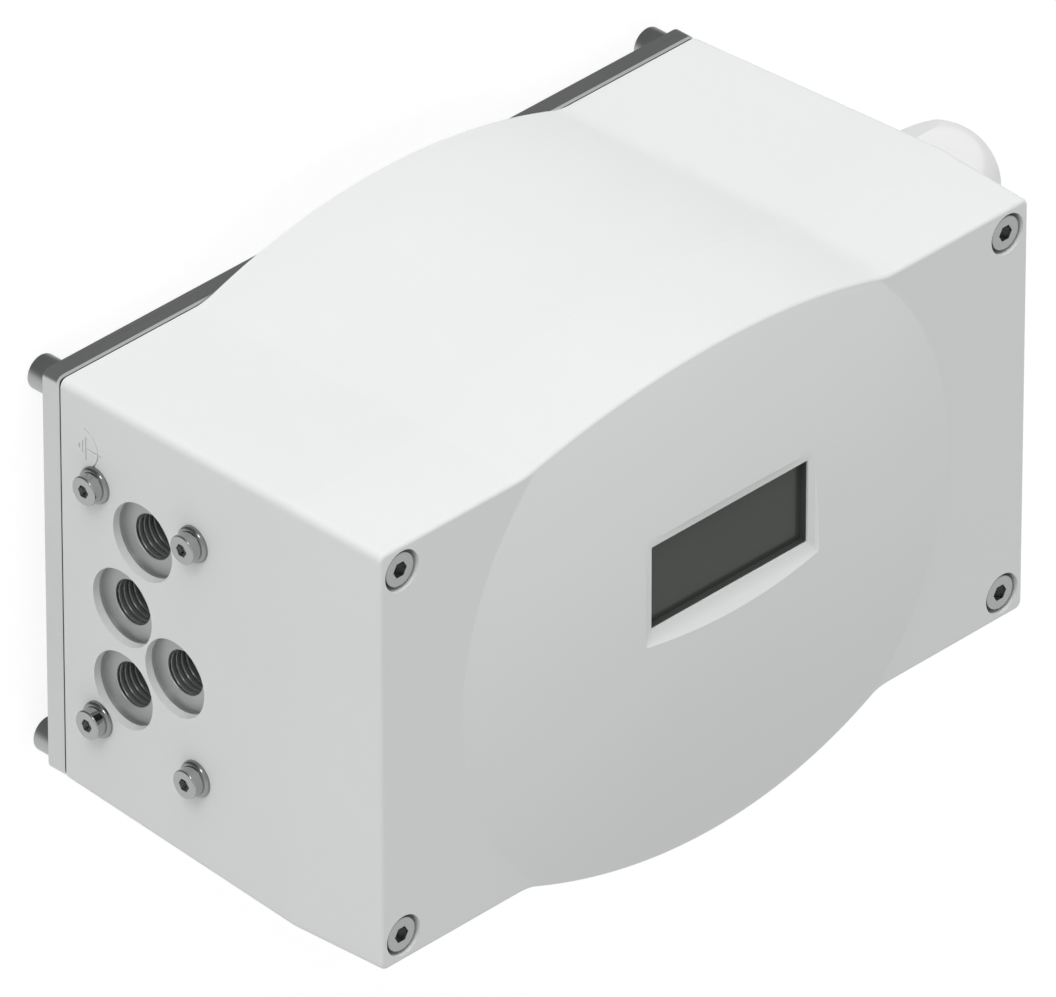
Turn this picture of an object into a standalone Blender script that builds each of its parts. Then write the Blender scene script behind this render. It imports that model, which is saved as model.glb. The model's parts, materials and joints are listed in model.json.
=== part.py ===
"""Valve positioner: a cast hood on a base plate, with ports, display, cable gland and a geared pick-up.

Metres, +Z up. The unit stands on the four feet of its base plate, with its display facing up.
The origin is on the axis of the feedback shaft, at the shaft's end face. +X runs along the hood,
from the ports to the cable gland, and +Y is the side towards which the display is shifted.
"""

import math

import bmesh
import bpy
import numpy as np

MM = 0.001

# Clearances
GAP = 0.3 * MM  # between pieces that seat on each other
WALL_OVERCUT = 1.0 * MM  # how far a cutter runs past the face that it opens

# Heights of the stack, from the feet to the hood's flat front face
SHAFT_LIFT = 0.5 * MM  # the shaft's end face above the foot plane
FOOT_LENGTH = 4.8 * MM
PLATE_THICKNESS = 4.7 * MM
HOOD_DEPTH = 90.7 * MM

FOOT_BOTTOM = -SHAFT_LIFT
FOOT_SHOULDER = FOOT_BOTTOM + FOOT_LENGTH
PLATE_BOTTOM = FOOT_SHOULDER + GAP
PLATE_TOP = PLATE_BOTTOM + PLATE_THICKNESS
RIM = PLATE_TOP + GAP
FRONT = RIM + HOOD_DEPTH

# Hood: the outer form, with its parting line and two drafts
FRONT_LENGTH = 182.0 * MM
FRONT_WIDTH = 98.1 * MM
PARTING_DEPTH = 24.1 * MM  # behind the front face
FRONT_DRAFT = math.radians(1.94)
REAR_DRAFT = math.radians(2.0)
CORNER_RADIUS = 1.8 * MM
FRONT_EDGE_RADIUS = 0.85 * MM
BULGE_HALF_CHORD = 50.0 * MM
BULGE_RISE = 9.0 * MM
BULGE_BLEND = 15.0 * MM

PARTING = FRONT - PARTING_DEPTH
FRONT_HALF = np.array((FRONT_LENGTH, FRONT_WIDTH)) / 2
PARTING_HALF = FRONT_HALF + PARTING_DEPTH * math.tan(FRONT_DRAFT)
RIM_HALF = PARTING_HALF - (PARTING - RIM) * math.tan(REAR_DRAFT)
BULGE_RADIUS = (BULGE_HALF_CHORD**2 + BULGE_RISE**2) / (2 * BULGE_RISE)

# Hood: the dome on the front face
DOME_RADIUS = 300.0 * MM
DOME_HEIGHT = 8.0 * MM
DOME_BLEND = 2.5 * MM  # hollow that rounds the foot of the dome
DOME_WALL = 5.2 * MM
RELIEF_RADIUS = 38.5 * MM  # the round hollow under the dome

DOME_FOOT = math.sqrt((DOME_RADIUS + DOME_BLEND) ** 2 - (DOME_RADIUS + DOME_BLEND - DOME_HEIGHT) ** 2)
DOME_EDGE = DOME_FOOT * DOME_RADIUS / (DOME_RADIUS + DOME_BLEND)

# Hood: the inside
RIM_WALL = 4.5 * MM
CEILING_WALL = 5.0 * MM
CORE_DRAFT = math.radians(1.2)
CORE_CORNER = 3.0 * MM

CORE_HALF = RIM_HALF - RIM_WALL
CEILING = FRONT - CEILING_WALL

# Corner screws, one through each corner of the hood into a foot
SCREW_INSET = 6.0 * MM  # from the front face's edges
HOOD_SCREW_RADIUS = 2.0 * MM
HOOD_HEAD_RADIUS = 3.8 * MM
HOOD_HEAD_HEIGHT = 4.0 * MM
HOOD_HEAD_SINK = 0.5 * MM
COUNTERBORE_CLEARANCE = 0.8 * MM
COLUMN_WALL = 3.3 * MM
SCREW_TIP_ABOVE_FOOT = 3.0 * MM
HEX_SOCKET = 3.2 * MM
HEX_SOCKET_DEPTH = 2.0 * MM

CORNER_X, CORNER_Y = FRONT_HALF - SCREW_INSET
CORNERS = ((CORNER_X, CORNER_Y), (-CORNER_X, CORNER_Y), (-CORNER_X, -CORNER_Y), (CORNER_X, -CORNER_Y))
HEAD_SEAT = FRONT - HOOD_HEAD_SINK - HOOD_HEAD_HEIGHT

# Feet
FOOT_RADIUS = 3.85 * MM
FOOT_SPIGOT_RADIUS = 3.0 * MM
FOOT_CHAMFER = 0.4 * MM
FOOT_FLOOR = 2.0 * MM

# Base plate and the flat gasket in its rebate
PLATE_INSET = 0.05 * MM
PLATE_CORNER = 1.8 * MM
PLATE_CHAMFER = 0.8 * MM
PLATE_LAND = 2.0 * MM
GASKET_THICKNESS = 0.8 * MM
GASKET_WIDTH = 8.4 * MM

PLATE_HALF = RIM_HALF - PLATE_INSET
REBATE_FLOOR = PLATE_TOP - GASKET_THICKNESS - GAP

# Display
DISPLAY_LENGTH = 44.1 * MM  # of the aperture in the recess floor
DISPLAY_WIDTH = 19.5 * MM
DISPLAY_SHIFT = 11.8 * MM  # from the dome's centre towards +Y
RECESS_RISE = 6.1 * MM  # of the recess floor above the flat front face
RECESS_LEDGE = 1.55 * MM
RECESS_SLOPE = 1.1  # run over rise of the end walls
RECESS_UPPER_SLOPE = 2.9
RECESS_LOWER_SLOPE = 2.2
APERTURE_LIP = 1.4 * MM
SEAL_LINING = 0.7 * MM
SEAL_FLANGE = 0.8 * MM
GLASS_SINK = 1.6 * MM
PANE_THICKNESS = 2.0 * MM
PANE_MARGIN = 2.85 * MM
DISPLAY_BOARD_MARGIN = 4.7 * MM
DISPLAY_MODULE_HEIGHT = 6.7 * MM
BOARD_THICKNESS = 1.6 * MM

RECESS_FLOOR = FRONT + RECESS_RISE
POCKET_CEILING = RECESS_FLOOR - APERTURE_LIP
PANE_TOP = POCKET_CEILING - 2 * GAP - SEAL_FLANGE
PANE_BOTTOM = PANE_TOP - PANE_THICKNESS
MODULE_TOP = PANE_BOTTOM - GAP
MODULE_BOTTOM = MODULE_TOP - DISPLAY_MODULE_HEIGHT
DISPLAY_BOARD_TOP = MODULE_BOTTOM - GAP

# Main board, hung from posts inside the hood
BOARD_END_MARGIN = 20.0 * MM  # from the core's end wall at the rim to the board
BOARD_SIDE_MARGIN = 5.0 * MM
BOARD_DEPTH = 15.7 * MM  # from the hood's ceiling to the board
POST_RADIUS = 3.5 * MM
POST_INSET = 6.5 * MM
BOARD_SCREW_RADIUS = 1.5 * MM
BOARD_SCREW_HEAD = 2.75 * MM
BOARD_SCREW_HEAD_HEIGHT = 2.0 * MM
BOARD_SCREW_LENGTH = 8.0 * MM
CONNECTOR_LENGTH = 30.0 * MM
CONNECTOR_WIDTH = 5.0 * MM
CONNECTOR_OFFSET = 10.0 * MM  # from the display's middle towards +Y

BOARD_HALF = CORE_HALF - (BOARD_END_MARGIN, BOARD_SIDE_MARGIN)
BOARD_TOP = CEILING - BOARD_DEPTH - GAP
BOARD_BOTTOM = BOARD_TOP - BOARD_THICKNESS
POST_X, POST_Y = BOARD_HALF - POST_INSET
POSTS = ((POST_X, POST_Y), (-POST_X, POST_Y), (-POST_X, -POST_Y), (POST_X, -POST_Y))

# Setting keys under the main board
KEY_COUNT = 3
KEY_PITCH = 16.0 * MM
KEY_Y = -24.0 * MM
KEY_BODY_SIDE = 12.0 * MM
KEY_BODY_HEIGHT = 4.5 * MM
KEY_CAP_RADIUS = 4.8 * MM
KEY_CAP_HEIGHT = 3.0 * MM
KEY_STEM_RADIUS = 3.0 * MM
KEY_TRAVEL = 1.0 * MM
KEY_STOP = 0.2 * MM  # left between cap and body when pressed

# Terminal block
TERMINAL_COUNT = 8
TERMINAL_PITCH = 5.0 * MM
TERMINAL_DEPTH = 14.0 * MM
TERMINAL_HEIGHT = 13.7 * MM
TERMINAL_CLEARANCE = 1.0 * MM  # from the board's screw heads to the block
TERMINAL_END = 2.0 * MM
WIRE_ENTRY = 3.6 * MM
WIRE_ENTRY_DEPTH = 8.0 * MM
CLAMP_SCREW_RADIUS = 1.8 * MM
CLAMP_SCREW_DEPTH = 2.5 * MM

TERMINAL_X = POST_X - BOARD_SCREW_HEAD - TERMINAL_CLEARANCE - TERMINAL_DEPTH / 2

# Screws that hold the block, with their washers
SIDE_SCREW_Y = 27.8 * MM
SIDE_SCREW_LOW = 19.8 * MM
SIDE_SCREW_HIGH = 48.4 * MM
SIDE_SCREW_RADIUS = 2.0 * MM
SIDE_HEAD_RADIUS = 3.5 * MM
SIDE_HEAD_HEIGHT = 2.3 * MM
SIDE_SOCKET = 2.5 * MM  # across the flats
SIDE_SOCKET_DEPTH = 1.6 * MM
SIDE_SCREW_REACH = 11.0 * MM  # into the block
WASHER_RADIUS = 4.25 * MM
WASHER_THICKNESS = 1.0 * MM
SIDE_SCREWS = (
    (SIDE_SCREW_Y, SIDE_SCREW_LOW),
    (SIDE_SCREW_Y, SIDE_SCREW_HIGH),
    (-SIDE_SCREW_Y, SIDE_SCREW_LOW),
    (-SIDE_SCREW_Y, SIDE_SCREW_HIGH),
)

# Pneumatic block behind the left end wall: its ports as (y, z)
PORTS = (
    (20.7 * MM, 33.3 * MM),
    (2.2 * MM, 27.1 * MM),
    (-17.4 * MM, 27.1 * MM),
    (-7.1 * MM, 42.3 * MM),
)
PORT_MOUTH_RADIUS = 8.6 * MM
PORT_MOUTH_DEPTH = 1.5 * MM
PORT_BOSS_RADIUS = 7.9 * MM
PORT_FACE_DEPTH = 2.9 * MM  # of the boss's end below the hood's wall
PORT_THREAD_RADIUS = 4.9 * MM
PORT_CHAMFER = 0.3 * MM
PORT_THREAD_DEPTH = 11.0 * MM
PORT_DRILL_RADIUS = 2.5 * MM
PORT_DRILL_DEPTH = 6.0 * MM
BLOCK_SIDE_MARGIN = 6.2 * MM  # from its screws to its faces
BLOCK_LOWER_MARGIN = 5.5 * MM
BLOCK_UPPER_MARGIN = 6.1 * MM
BLOCK_BEVEL = 1.0 * MM
SEAT_DEPTH = 0.2 * MM  # the machined seat below the core's end wall at the rim
PORT_GASKET_THICKNESS = 1.0 * MM

BLOCK_WIDTH = 2 * (SIDE_SCREW_Y + BLOCK_SIDE_MARGIN)
BLOCK_BOTTOM = SIDE_SCREW_LOW - BLOCK_LOWER_MARGIN
BLOCK_TOP = SIDE_SCREW_HIGH + BLOCK_UPPER_MARGIN
SEAT_X = CORE_HALF[0] + SEAT_DEPTH
PORT_GASKET_X = SEAT_X - GAP
BLOCK_X = PORT_GASKET_X - PORT_GASKET_THICKNESS - GAP

# Pilot valves on the block's inner face
VALVE_Y = 12.0 * MM
VALVE_LOW = 24.0 * MM
VALVE_HIGH = 44.0 * MM
VALVE_SPIGOT_RADIUS = 4.0 * MM
VALVE_SPIGOT_LENGTH = 4.5 * MM
VALVE_FLANGE_RADIUS = 8.5 * MM
VALVE_FLANGE_THICKNESS = 3.0 * MM
VALVE_COIL_RADIUS = 7.5 * MM
VALVE_COIL_LENGTH = 15.0 * MM
VALVE_CAP_RADIUS = 5.0 * MM
VALVE_CAP_LENGTH = 4.0 * MM
VALVE_TO_GEAR = 6.2 * MM  # between the valves' caps and the drive gear's teeth
VALVES = ((VALVE_Y, VALVE_LOW), (VALVE_Y, VALVE_HIGH), (-VALVE_Y, VALVE_LOW), (-VALVE_Y, VALVE_HIGH))

# Feedback shaft with its bush and seal in the base plate
SHAFT_RADIUS = 6.0 * MM
DRIVE_END_RADIUS = 5.0 * MM
DRIVE_FLAT = 3.5 * MM
SHAFT_COLLAR_RADIUS = 8.0 * MM
SHAFT_COLLAR_THICKNESS = 2.0 * MM
SHAFT_TOP_RADIUS = 5.0 * MM
SHAFT_TOP_FLAT = 4.0 * MM
SHAFT_END_ABOVE_RING = 2.5 * MM
SEAL_RADIAL = 3.4 * MM
SEAL_HEIGHT = 3.4 * MM
BUSH_WALL = 2.7 * MM
BUSH_FLANGE_RADIUS = 12.0 * MM
BUSH_FLANGE_THICKNESS = 1.5 * MM
BOSS_RADIUS = 13.0 * MM
BOSS_HEIGHT = 10.0 * MM

BUSH_BORE = SHAFT_RADIUS + GAP
BUSH_RADIUS = BUSH_BORE + BUSH_WALL
SEAL_RADIUS = BUSH_BORE + SEAL_RADIAL
BOSS_TOP = PLATE_TOP + BOSS_HEIGHT
COLLAR_BOTTOM = BOSS_TOP + GAP + BUSH_FLANGE_THICKNESS + GAP
COLLAR_TOP = COLLAR_BOTTOM + SHAFT_COLLAR_THICKNESS
SEAL_POCKET_TOP = PLATE_BOTTOM + SEAL_HEIGHT + 2 * GAP

# Gears
MODULE = 1.5 * MM
GEAR_TEETH = 32
PINION_TEETH = 16
PRESSURE_ANGLE = math.radians(20)
TOOTH_THINNING = 0.15 * MM  # of each flank, for running clearance
CENTRE_CLEARANCE = 0.15 * MM
GEAR_FACE = 5.0 * MM
GEAR_HUB_RADIUS = 10.0 * MM
GEAR_HUB_HEIGHT = 2.3 * MM
GEAR_HOLES = 6
GEAR_HOLE_RADIUS = 3.5 * MM
GEAR_HOLE_CIRCLE = 16.0 * MM
RING_THICKNESS = 1.0 * MM
RING_RADIUS = 8.0 * MM
RING_GROOVE_DEPTH = 0.9 * MM
RING_OPENING = math.radians(70)

GEAR_TIP = MODULE * (GEAR_TEETH / 2 + 1)
GEAR_BOTTOM = COLLAR_TOP + GAP
GEAR_TOP = GEAR_BOTTOM + GEAR_FACE
HUB_TOP = GEAR_TOP + GEAR_HUB_HEIGHT
RING_BOTTOM = HUB_TOP + GAP
SHAFT_TOP = RING_BOTTOM + RING_THICKNESS + GAP + SHAFT_END_ABOVE_RING
CENTRE_DISTANCE = MODULE * (GEAR_TEETH + PINION_TEETH) / 2 + CENTRE_CLEARANCE

# The pneumatic block fills the room that the gear and the valves leave
VALVE_LENGTH = GAP + VALVE_FLANGE_THICKNESS + VALVE_COIL_LENGTH + VALVE_CAP_LENGTH
BLOCK_LENGTH = BLOCK_X - VALVE_LENGTH - VALVE_TO_GEAR - GEAR_TIP

# Potentiometer on its bracket
POT_SHAFT_RADIUS = 3.0 * MM
POT_SHAFT_FLAT = 2.3 * MM
POT_SHAFT_REACH = 6.0 * MM  # into the potentiometer's case
POT_THREAD_RADIUS = 4.7 * MM
POT_THREAD_END = 0.6 * MM  # above the pinion
POT_CASE_RADIUS = 11.0 * MM
POT_CASE_HEIGHT = 13.0 * MM
POT_NUT_FLATS = 13.0 * MM
POT_NUT_THICKNESS = 2.0 * MM
BRACKET_SHEET = 2.0 * MM
BRACKET_WIDTH = 26.0 * MM
BRACKET_NECK = 14.0 * MM  # of the top flange beyond the potentiometer's axis, towards the shaft
BRACKET_WEB_OFFSET = 15.0 * MM  # of the upright from the potentiometer's axis
BRACKET_FOOT_LENGTH = 11.0 * MM
BRACKET_SCREW_SPACING = 16.0 * MM
BRACKET_SCREW_DEPTH = 3.0 * MM

POT_X = CENTRE_DISTANCE
BRACKET_UNDER = GEAR_TOP + POT_THREAD_END + POT_NUT_THICKNESS + 3 * GAP
BRACKET_TOP = BRACKET_UNDER + BRACKET_SHEET
WEB_X = POT_X + BRACKET_WEB_OFFSET
BRACKET_SCREW_X = WEB_X + BRACKET_SHEET + BRACKET_FOOT_LENGTH / 2

# Cable gland in the right end wall
GLAND_FROM_SCREW = 14.45 * MM  # of its axis from the corner screws' row
GLAND_Z = 62.2 * MM
GLAND_THREAD_RADIUS = 9.8 * MM
GLAND_FLATS = 24.0 * MM
GLAND_FLANGE = 5.5 * MM
GLAND_NECK_RADIUS = 9.1 * MM
GLAND_NECK_LENGTH = 8.0 * MM
GLAND_BORE = 5.8 * MM
GLAND_HEX_TURN = math.radians(30)  # the hexagons' corners point to +Y and -Y
GLAND_NUT_COLLAR = 4.1 * MM  # of full hexagon before the dome
GLAND_NUT_DOME = 11.5 * MM
GLAND_NUT_NOSE_RADIUS = 8.0 * MM
GLAND_CORNER_RADIUS = 13.4 * MM  # the nut's turned corners, where its dome starts
GLAND_INSERT_WALL = 1.9 * MM
GLAND_RING_WIDTH = 2.0 * MM
GLAND_RING_THICKNESS = 1.2 * MM
GLAND_PAD_DEPTH = 6.5 * MM  # of the thick pad inside the wall, which takes the gland's thread
GLAND_PAD_HALF = 13.0 * MM
SPOT_FACE_RADIUS = 14.2 * MM

GLAND_Y = CORNER_Y - GLAND_FROM_SCREW

# Facets round each turned piece, and the edge angle that stays sharp
FINE_STEPS = 24  # seen from outside
SCREW_STEPS = 18  # screws, washers and ports
INNER_STEPS = 16  # inside the hood
SMALL_STEPS = 8  # small bores
SHARP_ANGLE = math.radians(23.5)


def clear_scene():
    """Empties the scene that the script starts in."""
    for thing in list(bpy.data.objects):
        bpy.data.objects.remove(thing)


def finish(name, colour, roughness, metallic=0.0):
    """A Principled material with one colour, made once for each name."""
    material = bpy.data.materials.get(name) or bpy.data.materials.new(name)
    material.use_nodes = True
    shader = material.node_tree.nodes["Principled BSDF"]
    shader.inputs["Base Color"].default_value = (*colour, 1.0)
    shader.inputs["Roughness"].default_value = roughness
    shader.inputs["Metallic"].default_value = metallic
    return material


def painted():
    return finish("grey_paint", (0.78, 0.79, 0.78), 0.45)


def aluminium():
    return finish("milled_aluminium", (0.62, 0.64, 0.63), 0.35, 1.0)


def steel():
    return finish("bright_steel", (0.66, 0.66, 0.65), 0.25, 1.0)


def brass():
    return finish("brass", (0.72, 0.55, 0.28), 0.3, 1.0)


def black_rubber():
    return finish("black_rubber", (0.03, 0.03, 0.03), 0.7)


def dark_glass():
    return finish("smoked_glass", (0.05, 0.055, 0.05), 0.1)


def circuit_green():
    return finish("circuit_board", (0.02, 0.16, 0.08), 0.5)


def black_plastic():
    return finish("black_plastic", (0.04, 0.04, 0.045), 0.5)


def grey_plastic():
    return finish("grey_plastic", (0.7, 0.71, 0.7), 0.5)


def closed_mesh(name, form):
    """Turns a bmesh into a mesh with merged seams, faces that point out, and sharp edges kept sharp."""
    bmesh.ops.remove_doubles(form, verts=form.verts, dist=1e-7)
    bmesh.ops.recalc_face_normals(form, faces=form.faces)
    mesh = bpy.data.meshes.new(name)
    form.to_mesh(mesh)
    form.free()
    mesh.shade_smooth()
    mesh.set_sharp_from_angle(angle=SHARP_ANGLE)
    return mesh


def loft(name, rings, closed=False):
    """A skin over rings with the same number of points. Its ends are capped, or joined if it is closed."""
    form = bmesh.new()
    loops = [[form.verts.new(point) for point in ring] for ring in rings]
    pairs = list(zip(loops, loops[1:]))
    if closed:
        pairs.append((loops[-1], loops[0]))
    for lower, upper in pairs:
        for k in range(len(lower)):
            following = (k + 1) % len(lower)
            form.faces.new((lower[k], lower[following], upper[following], upper[k]))
    if not closed:
        form.faces.new(loops[0][::-1])
        form.faces.new(loops[-1])
    return closed_mesh(name, form)


def turned(name, profile, steps=FINE_STEPS):
    """Spins a profile of (radius, height) round +Z, closed on itself unless both ends lie on the axis."""
    form = bmesh.new()
    points = [form.verts.new((radius, 0, height)) for radius, height in profile]
    ends = list(zip(points, points[1:]))
    if profile[0][0] > 0 or profile[-1][0] > 0:
        ends.append((points[-1], points[0]))
    lines = [form.edges.new(pair) for pair in ends]
    bmesh.ops.spin(form, geom=points + lines, cent=(0, 0, 0), axis=(0, 0, 1), angle=2 * math.pi,
                   steps=steps, use_merge=True)
    return closed_mesh(name, form)


def block(name, low, high, bevel=0.0):
    """A box between two corners, with its long edges bevelled if asked."""
    low, high = np.array(low), np.array(high)
    form = bmesh.new()
    bmesh.ops.create_cube(form, size=1.0)
    bmesh.ops.scale(form, vec=high - low, verts=form.verts)
    bmesh.ops.translate(form, vec=(low + high) / 2, verts=form.verts)
    if bevel:
        bmesh.ops.bevel(form, geom=form.edges, offset=bevel, segments=1, affect="EDGES")
    return closed_mesh(name, form)


def circle(radius, height, steps):
    angles = np.linspace(0, 2 * np.pi, steps, endpoint=False)
    return np.stack([radius * np.cos(angles), radius * np.sin(angles), np.full(steps, height)], axis=1)


def hexagon(flats, height, steps, turn=0.0):
    """A hexagon as a ring of evenly turned points, with a corner at the angle turn from +X."""
    angles = np.linspace(0, 2 * np.pi, steps, endpoint=False)
    radius = flats / 2 / np.cos((angles - turn + 1e-9) % (np.pi / 3) - np.pi / 6)
    return np.stack([radius * np.cos(angles), radius * np.sin(angles), np.full(steps, height)], axis=1)


def flatted(ring, flat, both=False):
    """The ring with a flat cut at x = flat, and at x = -flat too if both."""
    ring = ring.copy()
    ring[:, 0] = np.clip(ring[:, 0], -flat if both else None, flat)
    return ring


def rounded_rectangle(half, radius, height, centre=(0.0, 0.0), steps=4):
    """A ring round a rectangle with round corners."""
    ring = []
    for corner, (sx, sy) in enumerate(((1, 1), (-1, 1), (-1, -1), (1, -1))):
        middle = np.array((sx * (half[0] - radius), sy * (half[1] - radius)))
        for angle in np.linspace(0, np.pi / 2, steps) + corner * np.pi / 2:
            x, y = middle + radius * np.array((math.cos(angle), math.sin(angle))) + centre
            ring.append((x, y, height))
    return ring


def piece(name, mesh, material, location=(0, 0, 0), rotation=(0, 0, 0), parent=None):
    """One sub-part: a named object with its own material slot, placed by its location and rotation."""
    thing = bpy.data.objects.new(name, mesh)
    bpy.context.scene.collection.objects.link(thing)
    if not mesh.materials:
        mesh.materials.append(material)
    thing.location = location
    thing.rotation_euler = rotation
    thing.parent = parent
    return thing


def axis_empty(name, location):
    """An empty on a joint's axis, which carries the pieces that move about it."""
    empty = bpy.data.objects.new(name, None)
    bpy.context.scene.collection.objects.link(empty)
    empty.location = location
    return empty


def cutter(name, mesh, location=(0, 0, 0), rotation=(0, 0, 0)):
    """A helper solid for a Boolean, left out of renders."""
    thing = piece(name, mesh, black_plastic(), location, rotation)
    thing.hide_render = True
    thing.display_type = "WIRE"
    return thing


def combine(target, tool, operation="DIFFERENCE"):
    modifier = target.modifiers.new(tool.name, "BOOLEAN")
    modifier.operation = operation
    modifier.object = tool
    modifier.solver = "EXACT"


def sharpen_cut_edges():
    """Splits the sharp edges that the Booleans leave, so that the smooth shading stops at them."""
    for thing in bpy.context.scene.objects:
        if thing.modifiers and not thing.hide_render:
            modifier = thing.modifiers.new("sharp_edges", "EDGE_SPLIT")
            modifier.split_angle = SHARP_ANGLE
            modifier.use_edge_sharp = False


OUTWARD_LEFT = (0, -math.pi / 2, 0)  # turns a piece's own +Z towards -X
OUTWARD_RIGHT = (0, math.pi / 2, 0)  # and towards +X


def wall_x(height):
    """Half the hood's length at a height below its parting line."""
    return RIM_HALF[0] + (height - RIM) * math.tan(REAR_DRAFT)


def core_x(height):
    """Half the length of the hood's inside at a height."""
    return CORE_HALF[0] - (height - RIM) * math.tan(CORE_DRAFT)


def dome_rise(radius):
    """Height of the front face above its flat part: a sphere that meets the flat in a hollow arc."""
    sphere = np.sqrt(DOME_RADIUS**2 - np.minimum(radius, DOME_EDGE) ** 2) - (DOME_RADIUS - DOME_HEIGHT)
    reach = np.clip(DOME_FOOT - radius, 0, DOME_BLEND)
    hollow = DOME_BLEND - np.sqrt(DOME_BLEND**2 - reach**2)
    return np.where(radius < DOME_EDGE, sphere, hollow)


SIDE_STEPS, CORNER_STEPS, FLAT_STEPS, BLEND_STEPS, BULGE_STEPS = 4, 2, 3, 3, 8


def hood_outline(half, inset=0.0):
    """The hood's outline, moved inwards by inset: straight sides, round corners, a bulge on each long side.

    One quarter runs from +X to +Y: the end, the corner, the flat of the long side, the hollow blend and
    half of the bulge. The other quarters are its mirror images.
    """
    half_x, half_y = half
    blend_x = math.sqrt((BULGE_RADIUS + BULGE_BLEND) ** 2 - (BULGE_RADIUS + BULGE_BLEND - BULGE_RISE) ** 2)
    swing = math.asin(blend_x / (BULGE_RADIUS + BULGE_BLEND))
    corner = np.array((half_x - CORNER_RADIUS, half_y - CORNER_RADIUS))
    quarter = []
    for angle in np.linspace(0, math.atan2(corner[1], half_x), SIDE_STEPS, endpoint=False):
        quarter.append((half_x - inset, half_x * math.tan(angle)))
    for angle in np.linspace(0, math.pi / 2, CORNER_STEPS, endpoint=False):
        quarter.append(corner + (CORNER_RADIUS - inset) * np.array((math.cos(angle), math.sin(angle))))
    for x in np.linspace(corner[0], blend_x, FLAT_STEPS, endpoint=False):
        quarter.append((x, half_y - inset))
    for angle in np.linspace(0, swing, BLEND_STEPS, endpoint=False):
        hollow = BULGE_BLEND + inset
        quarter.append((blend_x - hollow * math.sin(angle),
                        half_y + BULGE_BLEND - hollow * math.cos(angle)))
    for angle in np.linspace(swing, 0, BULGE_STEPS + 1):
        round_out = BULGE_RADIUS - inset
        centre_y = half_y + BULGE_RISE - BULGE_RADIUS
        quarter.append((round_out * math.sin(angle), centre_y + round_out * math.cos(angle)))
    quarter = np.array(quarter)
    left = quarter[-2::-1] * (-1, 1)
    below = quarter[1:] * (-1, -1)
    right = quarter[-2:0:-1] * (1, -1)
    return np.concatenate([quarter, left, below, right])


def at_height(outline, height):
    return np.column_stack([outline, np.broadcast_to(height, len(outline))])


def hood_shell():
    """The hood's outer form: a lofted box with two drafts, a rounded front edge and a domed front."""
    rings = [at_height(hood_outline(RIM_HALF), RIM), at_height(hood_outline(PARTING_HALF), PARTING)]
    face_edge = hood_outline(FRONT_HALF, FRONT_EDGE_RADIUS)
    reach = np.linalg.norm(face_edge, axis=1)
    edge_height = FRONT + dome_rise(reach)
    for angle in np.linspace(0, math.pi / 2, 3):
        inset = FRONT_EDGE_RADIUS * (1 - math.cos(angle))
        drop = FRONT_EDGE_RADIUS * (1 - math.sin(angle))
        rings.append(at_height(hood_outline(FRONT_HALF, inset), edge_height - drop))
    narrowing = np.minimum(1, 0.985 * reach / DOME_FOOT)
    blend_middle = (DOME_FOOT + DOME_EDGE) / 2
    for radius in (DOME_FOOT, blend_middle, *DOME_EDGE * np.array((1, 0.88, 0.7, 0.48, 0.25, 0.05))):
        radii = radius * narrowing
        loop = face_edge * (radii / reach)[:, None]
        rings.append(at_height(loop, FRONT + dome_rise(radii)))
    return loft("hood", rings)


def hood_core():
    """What hollows the hood: a drafted block with notches for the screw columns and the board posts."""
    low = RIM - WALL_OVERCUT
    half_low = CORE_HALF + WALL_OVERCUT * math.tan(CORE_DRAFT)
    half_high = CORE_HALF - (CEILING - RIM) * math.tan(CORE_DRAFT)
    rings = [rounded_rectangle(half_low, CORE_CORNER, low),
             rounded_rectangle(half_high, CORE_CORNER, CEILING)]
    core = cutter("hood_core", loft("hood_core", rings))
    bore = HOOD_SCREW_RADIUS + GAP
    column = turned("screw_column", (
        (0, low - WALL_OVERCUT), (bore + COLUMN_WALL, low - WALL_OVERCUT),
        (bore + COLUMN_WALL, CEILING + WALL_OVERCUT), (0, CEILING + WALL_OVERCUT)), INNER_STEPS)
    for number, (x, y) in enumerate(CORNERS, 1):
        combine(core, cutter(f"screw_column_{number}", column, (x, y, 0)))
    post = turned("board_post", ((0, BOARD_TOP + GAP), (POST_RADIUS, BOARD_TOP + GAP),
                                 (POST_RADIUS, CEILING + WALL_OVERCUT), (0, CEILING + WALL_OVERCUT)),
                 SMALL_STEPS)
    for number, (x, y) in enumerate(POSTS, 1):
        combine(core, cutter(f"board_post_{number}", post, (x, y, 0)))
    low = (core_x(GLAND_Z) - GLAND_PAD_DEPTH, GLAND_Y - GLAND_PAD_HALF, GLAND_Z - GLAND_PAD_HALF)
    high = (RIM_HALF[0], RIM_HALF[1], GLAND_Z + GLAND_PAD_HALF)
    combine(core, cutter("gland_pad", block("gland_pad", low, high, 1.0 * MM)))
    return core


def dome_relief():
    """The round hollow under the dome, with a wall of even thickness over it."""
    inner = DOME_RADIUS - DOME_WALL
    centre = FRONT + DOME_HEIGHT - DOME_RADIUS
    profile = [(0, CEILING - WALL_OVERCUT), (RELIEF_RADIUS, CEILING - WALL_OVERCUT)]
    for radius in np.linspace(RELIEF_RADIUS, 0, 4):
        profile.append((radius, centre + math.sqrt(inner**2 - radius**2)))
    return cutter("dome_relief", turned("dome_relief", profile, INNER_STEPS))


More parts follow.
